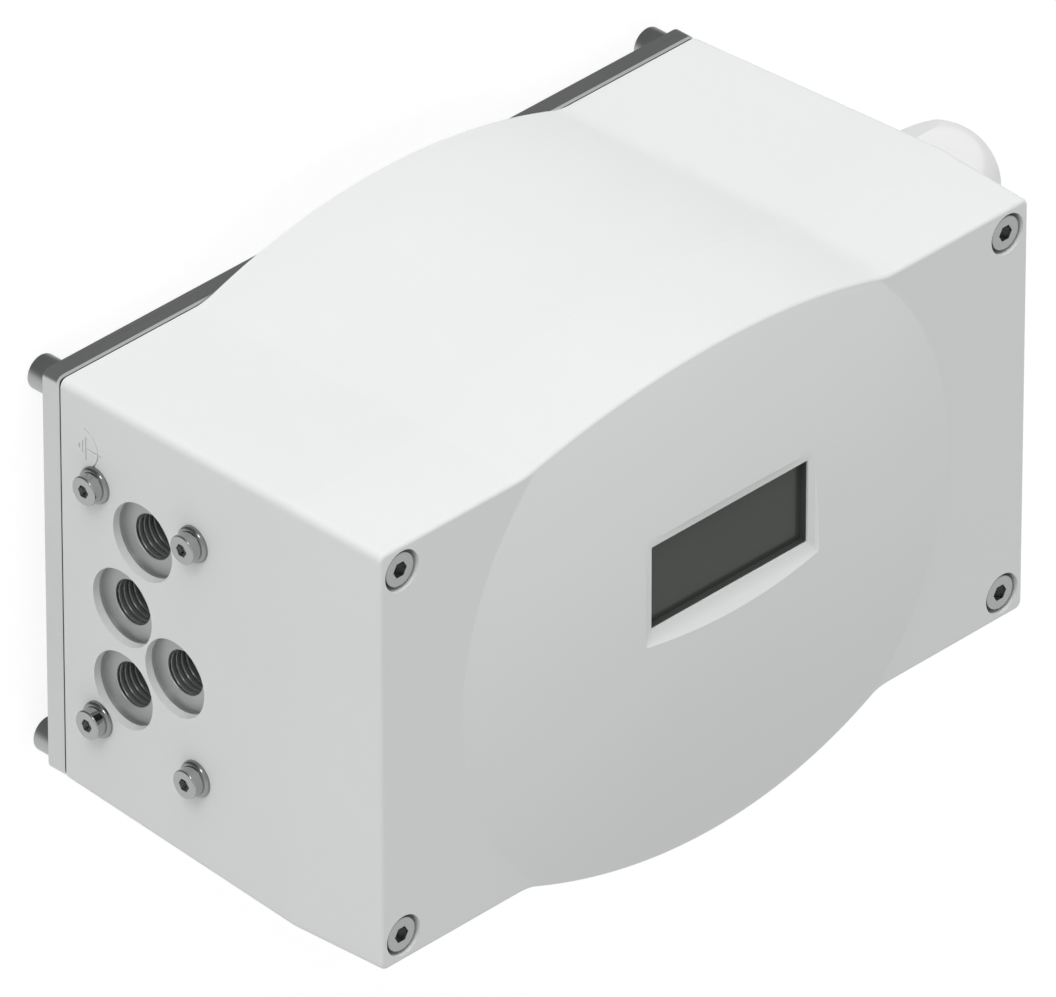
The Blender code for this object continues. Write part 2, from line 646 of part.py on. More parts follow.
def corner_screw_bores():
    """Through each corner: the screw's bore, with a counterbore for its head."""
    bore = HOOD_SCREW_RADIUS + GAP
    counterbore = HOOD_HEAD_RADIUS + COUNTERBORE_CLEARANCE
    profile = ((0, RIM - WALL_OVERCUT), (bore, RIM - WALL_OVERCUT), (bore, HEAD_SEAT - GAP),
               (counterbore, HEAD_SEAT - GAP), (counterbore, FRONT + WALL_OVERCUT),
               (0, FRONT + WALL_OVERCUT))
    mesh = turned("corner_bore", profile, SCREW_STEPS)
    return [cutter(f"corner_bore_{number}", mesh, (x, y, 0)) for number, (x, y) in enumerate(CORNERS, 1)]


def board_screw_bores():
    bore = BOARD_SCREW_RADIUS + GAP
    top = BOARD_BOTTOM - GAP + BOARD_SCREW_LENGTH + GAP
    profile = ((0, BOARD_TOP - GAP), (bore, BOARD_TOP - GAP), (bore, top), (0, top))
    mesh = turned("board_screw_bore", profile, SMALL_STEPS)
    return [cutter(f"board_screw_bore_{number}", mesh, (x, y, 0)) for number, (x, y) in enumerate(POSTS, 1)]


def display_cuts():
    """The sloping recess round the display, the aperture in its floor and the pane's pocket behind it."""
    half = np.array((DISPLAY_LENGTH, DISPLAY_WIDTH)) / 2
    floor = half + RECESS_LEDGE
    rise = DOME_HEIGHT - RECESS_RISE + WALL_OVERCUT
    side, upper, lower = (slope * rise for slope in (RECESS_SLOPE, RECESS_UPPER_SLOPE, RECESS_LOWER_SLOPE))
    top_half = floor + (side, (upper + lower) / 2)
    top_centre = (0, DISPLAY_SHIFT + (upper - lower) / 2)
    recess = loft("display_recess", [
        rounded_rectangle(floor, 0.3 * MM, RECESS_FLOOR, (0, DISPLAY_SHIFT), 2),
        rounded_rectangle(top_half, 0.3 * MM, RECESS_FLOOR + rise, top_centre, 2),
    ])
    aperture = block("display_aperture", (-half[0], DISPLAY_SHIFT - half[1], POCKET_CEILING - WALL_OVERCUT),
                     (half[0], DISPLAY_SHIFT + half[1], RECESS_FLOOR + WALL_OVERCUT))
    pocket_half = half + PANE_MARGIN + GAP
    pocket = block("pane_pocket", (-pocket_half[0], DISPLAY_SHIFT - pocket_half[1], CEILING),
                   (pocket_half[0], DISPLAY_SHIFT + pocket_half[1], POCKET_CEILING))
    return [cutter(mesh.name, mesh) for mesh in (recess, aperture, pocket)]


def port_cuts():
    """The machined seat for the block, the stepped port mouths and the holes for the block's screws."""
    seat = block("block_seat", (-SEAT_X, -BLOCK_WIDTH / 2 - GAP, RIM - WALL_OVERCUT),
                 (-core_x(BLOCK_TOP) + WALL_OVERCUT, BLOCK_WIDTH / 2 + GAP, BLOCK_TOP + GAP))
    cuts = [cutter("block_seat", seat)]
    sleeve = PORT_BOSS_RADIUS + GAP
    for number, (y, z) in enumerate(PORTS, 1):
        wall = wall_x(z)
        profile = ((0, SEAT_X - WALL_OVERCUT), (sleeve, SEAT_X - WALL_OVERCUT),
                   (sleeve, wall - PORT_MOUTH_DEPTH), (PORT_MOUTH_RADIUS, wall - PORT_MOUTH_DEPTH),
                   (PORT_MOUTH_RADIUS, wall + WALL_OVERCUT), (0, wall + WALL_OVERCUT))
        mouth = turned("port_mouth", profile, SCREW_STEPS)
        cuts.append(cutter(f"port_mouth_{number}", mouth, (0, y, z), OUTWARD_LEFT))
    bore = SIDE_SCREW_RADIUS + GAP
    for number, (y, z) in enumerate(SIDE_SCREWS, 1):
        profile = ((0, SEAT_X - WALL_OVERCUT), (bore, SEAT_X - WALL_OVERCUT),
                   (bore, wall_x(z) + WALL_OVERCUT), (0, wall_x(z) + WALL_OVERCUT))
        hole = turned("side_screw_hole", profile, SMALL_STEPS)
        cuts.append(cutter(f"side_screw_hole_{number}", hole, (0, y, z), OUTWARD_LEFT))
    return cuts


def gland_spot_face():
    """Where the gland's flat seat lies: square to its axis, just under the sloping wall's lower edge."""
    return wall_x(GLAND_Z) - SPOT_FACE_RADIUS * math.tan(REAR_DRAFT)


def gland_cut():
    bore = GLAND_THREAD_RADIUS + GAP
    inside = core_x(GLAND_Z) - GLAND_PAD_DEPTH - WALL_OVERCUT
    outside = wall_x(GLAND_Z) + 3 * WALL_OVERCUT
    seat = gland_spot_face()
    profile = ((0, inside), (bore, inside), (bore, seat), (SPOT_FACE_RADIUS, seat),
               (SPOT_FACE_RADIUS, outside), (0, outside))
    return cutter("gland_hole", turned("gland_hole", profile), (0, GLAND_Y, GLAND_Z), OUTWARD_RIGHT)


def make_hood():
    hood = piece("hood", hood_shell(), painted())
    combine(hood, hood_core())
    for tool in (dome_relief(), *corner_screw_bores(), *board_screw_bores(), *display_cuts(), *port_cuts()):
        combine(hood, tool)
    combine(hood, gland_cut())


def make_base_plate():
    """The plate with its chamfered edge, the gasket's rebate, the shaft's boss and the bores."""
    plate = piece("base_plate", loft("base_plate", [
        rounded_rectangle(PLATE_HALF, PLATE_CORNER, PLATE_BOTTOM),
        rounded_rectangle(PLATE_HALF, PLATE_CORNER, PLATE_TOP - PLATE_CHAMFER),
        rounded_rectangle(PLATE_HALF - PLATE_CHAMFER, PLATE_CORNER - PLATE_CHAMFER, PLATE_TOP),
    ]), aluminium())
    boss = turned("shaft_boss", ((0, PLATE_TOP - WALL_OVERCUT), (BOSS_RADIUS, PLATE_TOP - WALL_OVERCUT),
                                 (BOSS_RADIUS, BOSS_TOP), (0, BOSS_TOP)))
    combine(plate, cutter("shaft_boss", boss), "UNION")
    outer, inner = PLATE_HALF - PLATE_LAND, PLATE_HALF - PLATE_LAND - GASKET_WIDTH - 2 * GAP
    over = PLATE_TOP + WALL_OVERCUT
    rebate = loft("gasket_rebate", [
        rounded_rectangle(outer, PLATE_CORNER, REBATE_FLOOR), rounded_rectangle(outer, PLATE_CORNER, over),
        rounded_rectangle(inner, PLATE_CORNER, over), rounded_rectangle(inner, PLATE_CORNER, REBATE_FLOOR),
    ], closed=True)
    combine(plate, cutter("gasket_rebate", rebate))
    pocket, bush = SEAL_RADIUS + GAP, BUSH_RADIUS + GAP
    bore = ((0, PLATE_BOTTOM - WALL_OVERCUT), (pocket, PLATE_BOTTOM - WALL_OVERCUT),
            (pocket, SEAL_POCKET_TOP), (bush, SEAL_POCKET_TOP), (bush, BOSS_TOP + WALL_OVERCUT),
            (0, BOSS_TOP + WALL_OVERCUT))
    combine(plate, cutter("shaft_bore", turned("shaft_bore", bore)))
    spigot = FOOT_SPIGOT_RADIUS + GAP
    hole = turned("foot_hole", ((0, PLATE_BOTTOM - WALL_OVERCUT), (spigot, PLATE_BOTTOM - WALL_OVERCUT),
                                (spigot, over), (0, over)), INNER_STEPS)
    for number, (x, y) in enumerate(CORNERS, 1):
        combine(plate, cutter(f"foot_hole_{number}", hole, (x, y, 0)))
    bore, floor = BOARD_SCREW_RADIUS + GAP, PLATE_TOP - BRACKET_SCREW_DEPTH - GAP
    hole = turned("bracket_screw_bore", ((0, floor), (bore, floor), (bore, over), (0, over)), SMALL_STEPS)
    for number, side in enumerate((-1, 1), 1):
        place = (BRACKET_SCREW_X, side * BRACKET_SCREW_SPACING / 2, 0)
        combine(plate, cutter(f"bracket_screw_bore_{number}", hole, place))


def make_hood_gasket():
    outer = PLATE_HALF - PLATE_LAND - GAP
    inner = outer - GASKET_WIDTH
    low, high = REBATE_FLOOR + GAP, PLATE_TOP
    gasket = piece("hood_gasket", loft("hood_gasket", [
        rounded_rectangle(outer, PLATE_CORNER, low), rounded_rectangle(outer, PLATE_CORNER, high),
        rounded_rectangle(inner, PLATE_CORNER, high), rounded_rectangle(inner, PLATE_CORNER, low),
    ], closed=True), black_rubber())
    radius = FOOT_SPIGOT_RADIUS + 2 * GAP
    hole = turned("gasket_hole", ((0, low - WALL_OVERCUT), (radius, low - WALL_OVERCUT),
                                  (radius, high + WALL_OVERCUT), (0, high + WALL_OVERCUT)), SMALL_STEPS)
    for number, (x, y) in enumerate(CORNERS, 1):
        combine(gasket, cutter(f"gasket_hole_{number}", hole, (x, y, 0)))


def make_feet():
    """Four turned feet. Each has a spigot in the plate and a blind threaded bore for a corner screw."""
    spigot_top = PLATE_TOP - GAP
    bore = HOOD_SCREW_RADIUS + GAP
    profile = ((0, FOOT_BOTTOM), (FOOT_RADIUS - FOOT_CHAMFER, FOOT_BOTTOM),
               (FOOT_RADIUS, FOOT_BOTTOM + FOOT_CHAMFER), (FOOT_RADIUS, FOOT_SHOULDER),
               (FOOT_SPIGOT_RADIUS, FOOT_SHOULDER), (FOOT_SPIGOT_RADIUS, spigot_top),
               (bore, spigot_top), (bore, FOOT_BOTTOM + FOOT_FLOOR), (0, FOOT_BOTTOM + FOOT_FLOOR))
    mesh = turned("foot", profile, INNER_STEPS)
    for number, (x, y) in enumerate(CORNERS, 1):
        piece(f"foot_{number}", mesh, steel(), (x, y, 0))


def socket_screw(name, shank, length, head, height, chamfer, flats, socket):
    """A cap screw with its head's seat at height 0: shank below, head above with a hexagon socket."""
    rings = [
        circle(shank, -length, SCREW_STEPS), circle(shank, 0, SCREW_STEPS), circle(head, 0, SCREW_STEPS),
        circle(head, height - chamfer, SCREW_STEPS), circle(head - chamfer, height, SCREW_STEPS),
        hexagon(flats, height, SCREW_STEPS), hexagon(flats, height - socket, SCREW_STEPS),
    ]
    return loft(name, rings)


def make_hood_screws():
    length = HEAD_SEAT - (FOOT_BOTTOM + SCREW_TIP_ABOVE_FOOT)
    mesh = socket_screw("hood_screw", HOOD_SCREW_RADIUS, length, HOOD_HEAD_RADIUS, HOOD_HEAD_HEIGHT,
                        0.4 * MM, HEX_SOCKET, HEX_SOCKET_DEPTH)
    for number, (x, y) in enumerate(CORNERS, 1):
        piece(f"hood_screw_{number}", mesh, steel(), (x, y, HEAD_SEAT))


def make_display():
    """The rubber seal that lines the aperture, the stepped pane, the display module and its board."""
    half = np.array((DISPLAY_LENGTH, DISPLAY_WIDTH)) / 2
    centre = (0, DISPLAY_SHIFT)
    lining, flange = half - GAP, half + PANE_MARGIN
    inner = lining - SEAL_LINING
    flange_top = PANE_TOP + GAP + SEAL_FLANGE
    sections = ((inner, PANE_TOP + GAP), (flange, PANE_TOP + GAP), (flange, flange_top),
                (lining, flange_top), (lining, RECESS_FLOOR - GAP), (inner, RECESS_FLOOR - GAP))
    piece("display_seal", loft("display_seal", [
        rounded_rectangle(size, 0.4 * MM, height, centre, 2) for size, height in sections
    ], closed=True), black_rubber())
    step = inner - GAP
    sections = ((flange, PANE_BOTTOM), (flange, PANE_TOP), (step, PANE_TOP),
                (step, RECESS_FLOOR - GLASS_SINK))
    piece("display_window", loft("display_window", [
        rounded_rectangle(size, 0.4 * MM, height, centre, 2) for size, height in sections
    ]), dark_glass())
    low = (-flange[0], DISPLAY_SHIFT - flange[1], MODULE_BOTTOM)
    high = (flange[0], DISPLAY_SHIFT + flange[1], MODULE_TOP)
    piece("display_module", block("display_module", low, high, 0.4 * MM), black_plastic())
    board = flange + DISPLAY_BOARD_MARGIN
    low = (-board[0], DISPLAY_SHIFT - board[1], DISPLAY_BOARD_TOP - BOARD_THICKNESS)
    high = (board[0], DISPLAY_SHIFT + board[1], DISPLAY_BOARD_TOP)
    piece("display_board", block("display_board", low, high), circuit_green())
    y = DISPLAY_SHIFT + CONNECTOR_OFFSET
    low = (-CONNECTOR_LENGTH / 2, y - CONNECTOR_WIDTH / 2, BOARD_TOP + GAP)
    high = (CONNECTOR_LENGTH / 2, y + CONNECTOR_WIDTH / 2, DISPLAY_BOARD_TOP - BOARD_THICKNESS - GAP)
    piece("display_connector", block("display_connector", low, high), black_plastic())


def make_main_board():
    board = piece("main_board", loft("main_board", [
        rounded_rectangle(BOARD_HALF, 2.0 * MM, height) for height in (BOARD_BOTTOM, BOARD_TOP)
    ]), circuit_green())
    bore = BOARD_SCREW_RADIUS + GAP
    low, high = BOARD_BOTTOM - WALL_OVERCUT, BOARD_TOP + WALL_OVERCUT
    hole = turned("board_hole", ((0, low), (bore, low), (bore, high), (0, high)), SMALL_STEPS)
    mesh = small_screw("board_screw", BOARD_SCREW_LENGTH)
    for number, (x, y) in enumerate(POSTS, 1):
        combine(board, cutter(f"board_hole_{number}", hole, (x, y, 0)))
        piece(f"board_screw_{number}", mesh, steel(), (x, y, BOARD_BOTTOM - GAP), (math.pi, 0, 0))


def small_screw(name, length):
    """A pan-head screw with its head's seat at height 0."""
    crown = BOARD_SCREW_HEAD - 0.6 * MM
    profile = ((0, -length), (BOARD_SCREW_RADIUS, -length), (BOARD_SCREW_RADIUS, 0), (BOARD_SCREW_HEAD, 0),
               (BOARD_SCREW_HEAD, BOARD_SCREW_HEAD_HEIGHT / 2), (crown, BOARD_SCREW_HEAD_HEIGHT),
               (0, BOARD_SCREW_HEAD_HEIGHT))
    return turned(name, profile, SMALL_STEPS)


def make_keys():
    """Setting keys: a square switch body under the board, and a cap whose stem slides in it."""
    body_top = BOARD_BOTTOM - GAP
    body_bottom = body_top - KEY_BODY_HEIGHT
    cap_top = body_bottom - KEY_TRAVEL - KEY_STOP
    stem_top = body_top - 2 * GAP - KEY_TRAVEL - KEY_STOP
    bore = KEY_STEM_RADIUS + GAP
    bore_top = stem_top + KEY_TRAVEL + KEY_STOP
    well = turned("key_bore", ((0, body_bottom - WALL_OVERCUT), (bore, body_bottom - WALL_OVERCUT),
                               (bore, bore_top), (0, bore_top)), INNER_STEPS)
    cap = turned("key_cap", ((0, -KEY_CAP_HEIGHT), (KEY_CAP_RADIUS - 0.5 * MM, -KEY_CAP_HEIGHT),
                             (KEY_CAP_RADIUS, 0.5 * MM - KEY_CAP_HEIGHT), (KEY_CAP_RADIUS, 0),
                             (KEY_STEM_RADIUS, 0), (KEY_STEM_RADIUS, stem_top - cap_top),
                             (0, stem_top - cap_top)), INNER_STEPS)
    side = KEY_BODY_SIDE / 2
    for number in range(KEY_COUNT):
        x = (number - (KEY_COUNT - 1) / 2) * KEY_PITCH
        name = f"key_body_{number + 1}"
        mesh = block(name, (x - side, KEY_Y - side, body_bottom), (x + side, KEY_Y + side, body_top),
                     0.4 * MM)
        combine(piece(name, mesh, black_plastic()), cutter(f"key_bore_{number + 1}", well, (x, KEY_Y, 0)))
        axis = axis_empty(f"key_axis_{number + 1}", (x, KEY_Y, cap_top))
        piece(f"key_cap_{number + 1}", cap, grey_plastic(), parent=axis)


def make_terminal_block():
    """A row of screw clamps under the board, with its wire entries towards the gland."""
    length = TERMINAL_COUNT * TERMINAL_PITCH + 2 * TERMINAL_END
    top = BOARD_BOTTOM - GAP
    bottom = top - TERMINAL_HEIGHT
    front, back = TERMINAL_X + TERMINAL_DEPTH / 2, TERMINAL_X - TERMINAL_DEPTH / 2
    step = TERMINAL_DEPTH * 0.35
    outline = ((back, top), (back, bottom), (front - step, bottom), (front, bottom + step), (front, top))
    rings = [[(x, y, z) for x, z in outline] for y in (-length / 2, length / 2)]
    terminal = piece("terminal_block", loft("terminal_block", rings), black_plastic())
    screw = turned("clamp_screw_well", ((0, -WALL_OVERCUT), (CLAMP_SCREW_RADIUS, -WALL_OVERCUT),
                                        (CLAMP_SCREW_RADIUS, CLAMP_SCREW_DEPTH), (0, CLAMP_SCREW_DEPTH)), 8)
    for number in range(TERMINAL_COUNT):
        y = (number - (TERMINAL_COUNT - 1) / 2) * TERMINAL_PITCH
        centre_z = (bottom + step + top) / 2
        low = (front - WIRE_ENTRY_DEPTH, y - WIRE_ENTRY / 2, centre_z - WIRE_ENTRY / 2)
        high = (front + WALL_OVERCUT, y + WIRE_ENTRY / 2, centre_z + WIRE_ENTRY / 2)
        entry = f"wire_entry_{number + 1}"
        combine(terminal, cutter(entry, block(entry, low, high)))
        well_x = (back + front - step) / 2
        combine(terminal, cutter(f"clamp_screw_well_{number + 1}", screw, (well_x, y, bottom)))


def make_pneumatic_block():
    """The block: four threaded port bosses that reach through the hood's wall, and seats for the valves."""
    low = (-BLOCK_X, -BLOCK_WIDTH / 2, BLOCK_BOTTOM)
    high = (-BLOCK_X + BLOCK_LENGTH, BLOCK_WIDTH / 2, BLOCK_TOP)
    manifold = piece("pneumatic_block", block("pneumatic_block", low, high, BLOCK_BEVEL), aluminium())
    for number, (y, z) in enumerate(PORTS, 1):
        face = wall_x(z) - PORT_FACE_DEPTH
        boss = turned("port_boss", ((0, BLOCK_X - WALL_OVERCUT), (PORT_BOSS_RADIUS, BLOCK_X - WALL_OVERCUT),
                                    (PORT_BOSS_RADIUS, face), (0, face)), SCREW_STEPS)
        combine(manifold, cutter(f"port_boss_{number}", boss, (0, y, z), OUTWARD_LEFT), "UNION")
    for number, (y, z) in enumerate(PORTS, 1):
        face = wall_x(z) - PORT_FACE_DEPTH
        flare = PORT_THREAD_RADIUS + PORT_CHAMFER + WALL_OVERCUT
        thread_end = face - PORT_THREAD_DEPTH
        drill_end = thread_end - PORT_DRILL_DEPTH
        profile = ((0, drill_end), (PORT_DRILL_RADIUS, drill_end), (PORT_DRILL_RADIUS, thread_end),
                   (PORT_THREAD_RADIUS, thread_end), (PORT_THREAD_RADIUS, face - PORT_CHAMFER),
                   (flare, face + WALL_OVERCUT), (0, face + WALL_OVERCUT))
        bored = turned("port_bore", profile, SCREW_STEPS)
        combine(manifold, cutter(f"port_bore_{number}", bored, (0, y, z), OUTWARD_LEFT))
    bore, tip = SIDE_SCREW_RADIUS + GAP, BLOCK_X - SIDE_SCREW_REACH - GAP
    hole = turned("block_screw_bore", ((0, tip), (bore, tip), (bore, BLOCK_X + WALL_OVERCUT),
                                       (0, BLOCK_X + WALL_OVERCUT)), SMALL_STEPS)
    for number, (y, z) in enumerate(SIDE_SCREWS, 1):
        combine(manifold, cutter(f"block_screw_bore_{number}", hole, (0, y, z), OUTWARD_LEFT))
    bore, inner = VALVE_SPIGOT_RADIUS + GAP, BLOCK_X - BLOCK_LENGTH
    depth = inner + VALVE_SPIGOT_LENGTH + GAP
    hole = turned("valve_seat", ((0, inner - WALL_OVERCUT), (bore, inner - WALL_OVERCUT),
                                 (bore, depth), (0, depth)), INNER_STEPS)
    for number, (y, z) in enumerate(VALVES, 1):
        combine(manifold, cutter(f"valve_seat_{number}", hole, (0, y, z), OUTWARD_LEFT))


def make_port_gasket():
    margin = 1.0 * MM
    low = (-PORT_GASKET_X, -BLOCK_WIDTH / 2 + margin, BLOCK_BOTTOM + margin)
    high = (-PORT_GASKET_X + PORT_GASKET_THICKNESS, BLOCK_WIDTH / 2 - margin, BLOCK_TOP - margin)
    gasket = piece("port_gasket", block("port_gasket", low, high), black_rubber())
    near, far = PORT_GASKET_X - PORT_GASKET_THICKNESS - WALL_OVERCUT, PORT_GASKET_X + WALL_OVERCUT
    holes = [(PORTS, PORT_BOSS_RADIUS + GAP, INNER_STEPS),
             (SIDE_SCREWS, SIDE_SCREW_RADIUS + GAP, SMALL_STEPS)]
    for row, (places, radius, steps) in enumerate(holes, 1):
        hole = turned("port_gasket_hole", ((0, near), (radius, near), (radius, far), (0, far)), steps)
        for number, (y, z) in enumerate(places, 1):
            combine(gasket, cutter(f"port_gasket_hole_{row}_{number}", hole, (0, y, z), OUTWARD_LEFT))


def make_side_screws():
    """The block's screws and washers, seated on the sloping end wall at their nearest point."""
    bore = SIDE_SCREW_RADIUS + GAP
    washer = turned("side_washer", ((bore, 0), (WASHER_RADIUS, 0), (WASHER_RADIUS, WASHER_THICKNESS),
                                    (bore, WASHER_THICKNESS)), SCREW_STEPS)
    for number, (y, z) in enumerate(SIDE_SCREWS, 1):
        seat = wall_x(z) + WASHER_RADIUS * math.tan(REAR_DRAFT) + GAP
        head_seat = seat + WASHER_THICKNESS + GAP
        length = head_seat - (BLOCK_X - SIDE_SCREW_REACH)
        mesh = socket_screw("side_screw", SIDE_SCREW_RADIUS, length, SIDE_HEAD_RADIUS, SIDE_HEAD_HEIGHT,
                            0.4 * MM, SIDE_SOCKET, SIDE_SOCKET_DEPTH)
        piece(f"side_washer_{number}", washer, steel(), (-seat, y, z), OUTWARD_LEFT)
        piece(f"side_screw_{number}", mesh, steel(), (-head_seat, y, z), OUTWARD_LEFT)


def make_pilot_valves():
    """Four pilot valves. Each stands on the block's inner face with its spigot in the block."""
    flange_end = VALVE_FLANGE_THICKNESS
    coil_end = flange_end + VALVE_COIL_LENGTH
    cap_end = coil_end + VALVE_CAP_LENGTH
    profile = ((0, -VALVE_SPIGOT_LENGTH - GAP), (VALVE_SPIGOT_RADIUS, -VALVE_SPIGOT_LENGTH - GAP),
               (VALVE_SPIGOT_RADIUS, 0), (VALVE_FLANGE_RADIUS, 0), (VALVE_FLANGE_RADIUS, flange_end),
               (VALVE_COIL_RADIUS, flange_end), (VALVE_COIL_RADIUS, coil_end), (VALVE_CAP_RADIUS, coil_end),
               (VALVE_CAP_RADIUS, cap_end), (0, cap_end))
    mesh = turned("pilot_valve", profile, INNER_STEPS)
    seat = -BLOCK_X + BLOCK_LENGTH + GAP
    for number, (y, z) in enumerate(VALVES, 1):
        piece(f"pilot_valve_{number}", mesh, black_plastic(), (seat, y, z), OUTWARD_RIGHT)


def make_shaft():
    """The feedback shaft: a drive end with two flats, a journal, a collar and a flatted seat for the gear."""
    steps = INNER_STEPS
    groove_low, groove_high = RING_BOTTOM - GAP, RING_BOTTOM + RING_THICKNESS + GAP
    groove = SHAFT_TOP_RADIUS - RING_GROOVE_DEPTH - GAP
    drive = flatted(circle(DRIVE_END_RADIUS, 0, steps), DRIVE_FLAT, both=True)
    seat = flatted(circle(SHAFT_TOP_RADIUS, 0, steps), SHAFT_TOP_FLAT)
    sections = [
        (drive, 0), (drive, FOOT_SHOULDER), (circle(SHAFT_RADIUS, 0, steps), FOOT_SHOULDER),
        (circle(SHAFT_RADIUS, 0, steps), COLLAR_BOTTOM),
        (circle(SHAFT_COLLAR_RADIUS, 0, steps), COLLAR_BOTTOM),
        (circle(SHAFT_COLLAR_RADIUS, 0, steps), COLLAR_TOP), (seat, COLLAR_TOP), (seat, groove_low),
        (circle(groove, 0, steps), groove_low), (circle(groove, 0, steps), groove_high),
        (seat, groove_high),
        (seat, SHAFT_TOP),
    ]
    axis = axis_empty("shaft_axis", (0, 0, 0))
    rings = [ring + (0, 0, height) for ring, height in sections]
    piece("feedback_shaft", loft("feedback_shaft", rings), steel(), parent=axis)
    piece("drive_gear", drive_gear_mesh(), brass(), parent=axis)
    piece("retaining_ring", retaining_ring_mesh(), steel(), parent=axis)


def make_shaft_bearing():
    flange_low, flange_high = BOSS_TOP + GAP, BOSS_TOP + GAP + BUSH_FLANGE_THICKNESS
    low = SEAL_POCKET_TOP + GAP
    profile = ((BUSH_BORE, low), (BUSH_RADIUS, low), (BUSH_RADIUS, flange_low),
               (BUSH_FLANGE_RADIUS, flange_low), (BUSH_FLANGE_RADIUS, flange_high), (BUSH_BORE, flange_high))
    piece("shaft_bush", turned("shaft_bush", profile, INNER_STEPS), brass())
    low, high = PLATE_BOTTOM + GAP, PLATE_BOTTOM + GAP + SEAL_HEIGHT
    profile = ((BUSH_BORE, low), (SEAL_RADIUS, low), (SEAL_RADIUS, high), (BUSH_BORE, high))
    piece("shaft_seal", turned("shaft_seal", profile), black_rubber())


def gear_outline(teeth, turn=0.0):
    """One closed outline of involute teeth, each of five points: two at the root, two at the tip, a flank mark.

    The half thickness of a tooth at radius r, as an angle, is its half thickness at the pitch circle plus
    the involute of the pressure angle less the involute of the angle whose cosine is base radius over r.
    """
    pitch = MODULE * teeth / 2
    base = pitch * math.cos(PRESSURE_ANGLE)
    tip, root = pitch + MODULE, pitch - 1.25 * MODULE

    def half_angle(radius):
        slope = math.acos(min(1.0, base / max(radius, base)))
        involute = (math.tan(PRESSURE_ANGLE) - PRESSURE_ANGLE) - (math.tan(slope) - slope)
        return math.pi / (2 * teeth) + involute - TOOTH_THINNING / pitch

    outline = []
    for tooth in range(teeth):
        centre = turn + 2 * math.pi * tooth / teeth
        for radius, side in ((root, -1), (pitch, -1), (tip, -1), (tip, 1), (pitch, 1), (root, 1)):
            angle = centre + side * half_angle(radius)
            outline.append((radius * math.cos(angle), radius * math.sin(angle)))
    return outline


def ring_faces(form, outer, inner):
    """Fills the flat ring between two closed loops of vertices by a triangulated fill."""
    edges = [form.edges.get(pair) or form.edges.new(pair) for loop in (outer, inner)
             for pair in zip(loop, loop[1:] + loop[:1])]
    bmesh.ops.triangle_fill(form, edges=edges, use_beauty=True)


def gear_mesh(name, outline, bore, low, high, hub_radius, hub_top):
    """A toothed wheel with a shaped bore and a round hub on its upper side."""
    form = bmesh.new()
    teeth = [[form.verts.new((x, y, z)) for x, y in outline] for z in (low, high)]
    hub = [[form.verts.new(point) for point in circle(hub_radius, z, len(bore))] for z in (high, hub_top)]
    hole = [[form.verts.new((x, y, z)) for x, y, _ in bore] for z in (low, hub_top)]
    for lower, upper in (teeth, hub, hole):
        for k in range(len(lower)):
            following = (k + 1) % len(lower)
            form.faces.new((lower[k], lower[following], upper[following], upper[k]))
    ring_faces(form, teeth[0], hole[0])
    ring_faces(form, teeth[1], hub[0])
    ring_faces(form, hub[1], hole[1])
    return closed_mesh(name, form)


def drive_gear_mesh():
    bore = flatted(circle(SHAFT_TOP_RADIUS + GAP, 0, INNER_STEPS), SHAFT_TOP_FLAT + GAP)
    return gear_mesh("drive_gear", gear_outline(GEAR_TEETH), bore, GEAR_BOTTOM, GEAR_TOP,
                     GEAR_HUB_RADIUS, HUB_TOP)


def lighten_gear():
    """Round holes in the wheel's web."""
    gear = bpy.data.objects["drive_gear"]
    low, high = GEAR_BOTTOM - WALL_OVERCUT, GEAR_TOP + WALL_OVERCUT
    hole = turned("web_hole", ((0, low), (GEAR_HOLE_RADIUS, low), (GEAR_HOLE_RADIUS, high), (0, high)),
                  SMALL_STEPS)
    for number in range(GEAR_HOLES):
        angle = 2 * math.pi * (number + 0.5) / GEAR_HOLES
        place = (GEAR_HOLE_CIRCLE * math.cos(angle), GEAR_HOLE_CIRCLE * math.sin(angle), 0)
        combine(gear, cutter(f"web_hole_{number + 1}", hole, place))


def retaining_ring_mesh():
    """An open ring that snaps into the shaft's groove above the gear."""
    inner = SHAFT_TOP_RADIUS - RING_GROOVE_DEPTH
    angles = np.linspace(RING_OPENING / 2, 2 * math.pi - RING_OPENING / 2, 14)
    rings = []
    for angle in angles:
        across = np.array((math.cos(angle), math.sin(angle), 0))
        rings.append([across * radius + (0, 0, z) for radius, z in (
            (inner, RING_BOTTOM), (RING_RADIUS, RING_BOTTOM),
            (RING_RADIUS, RING_BOTTOM + RING_THICKNESS), (inner, RING_BOTTOM + RING_THICKNESS))])
    return loft("retaining_ring", rings)


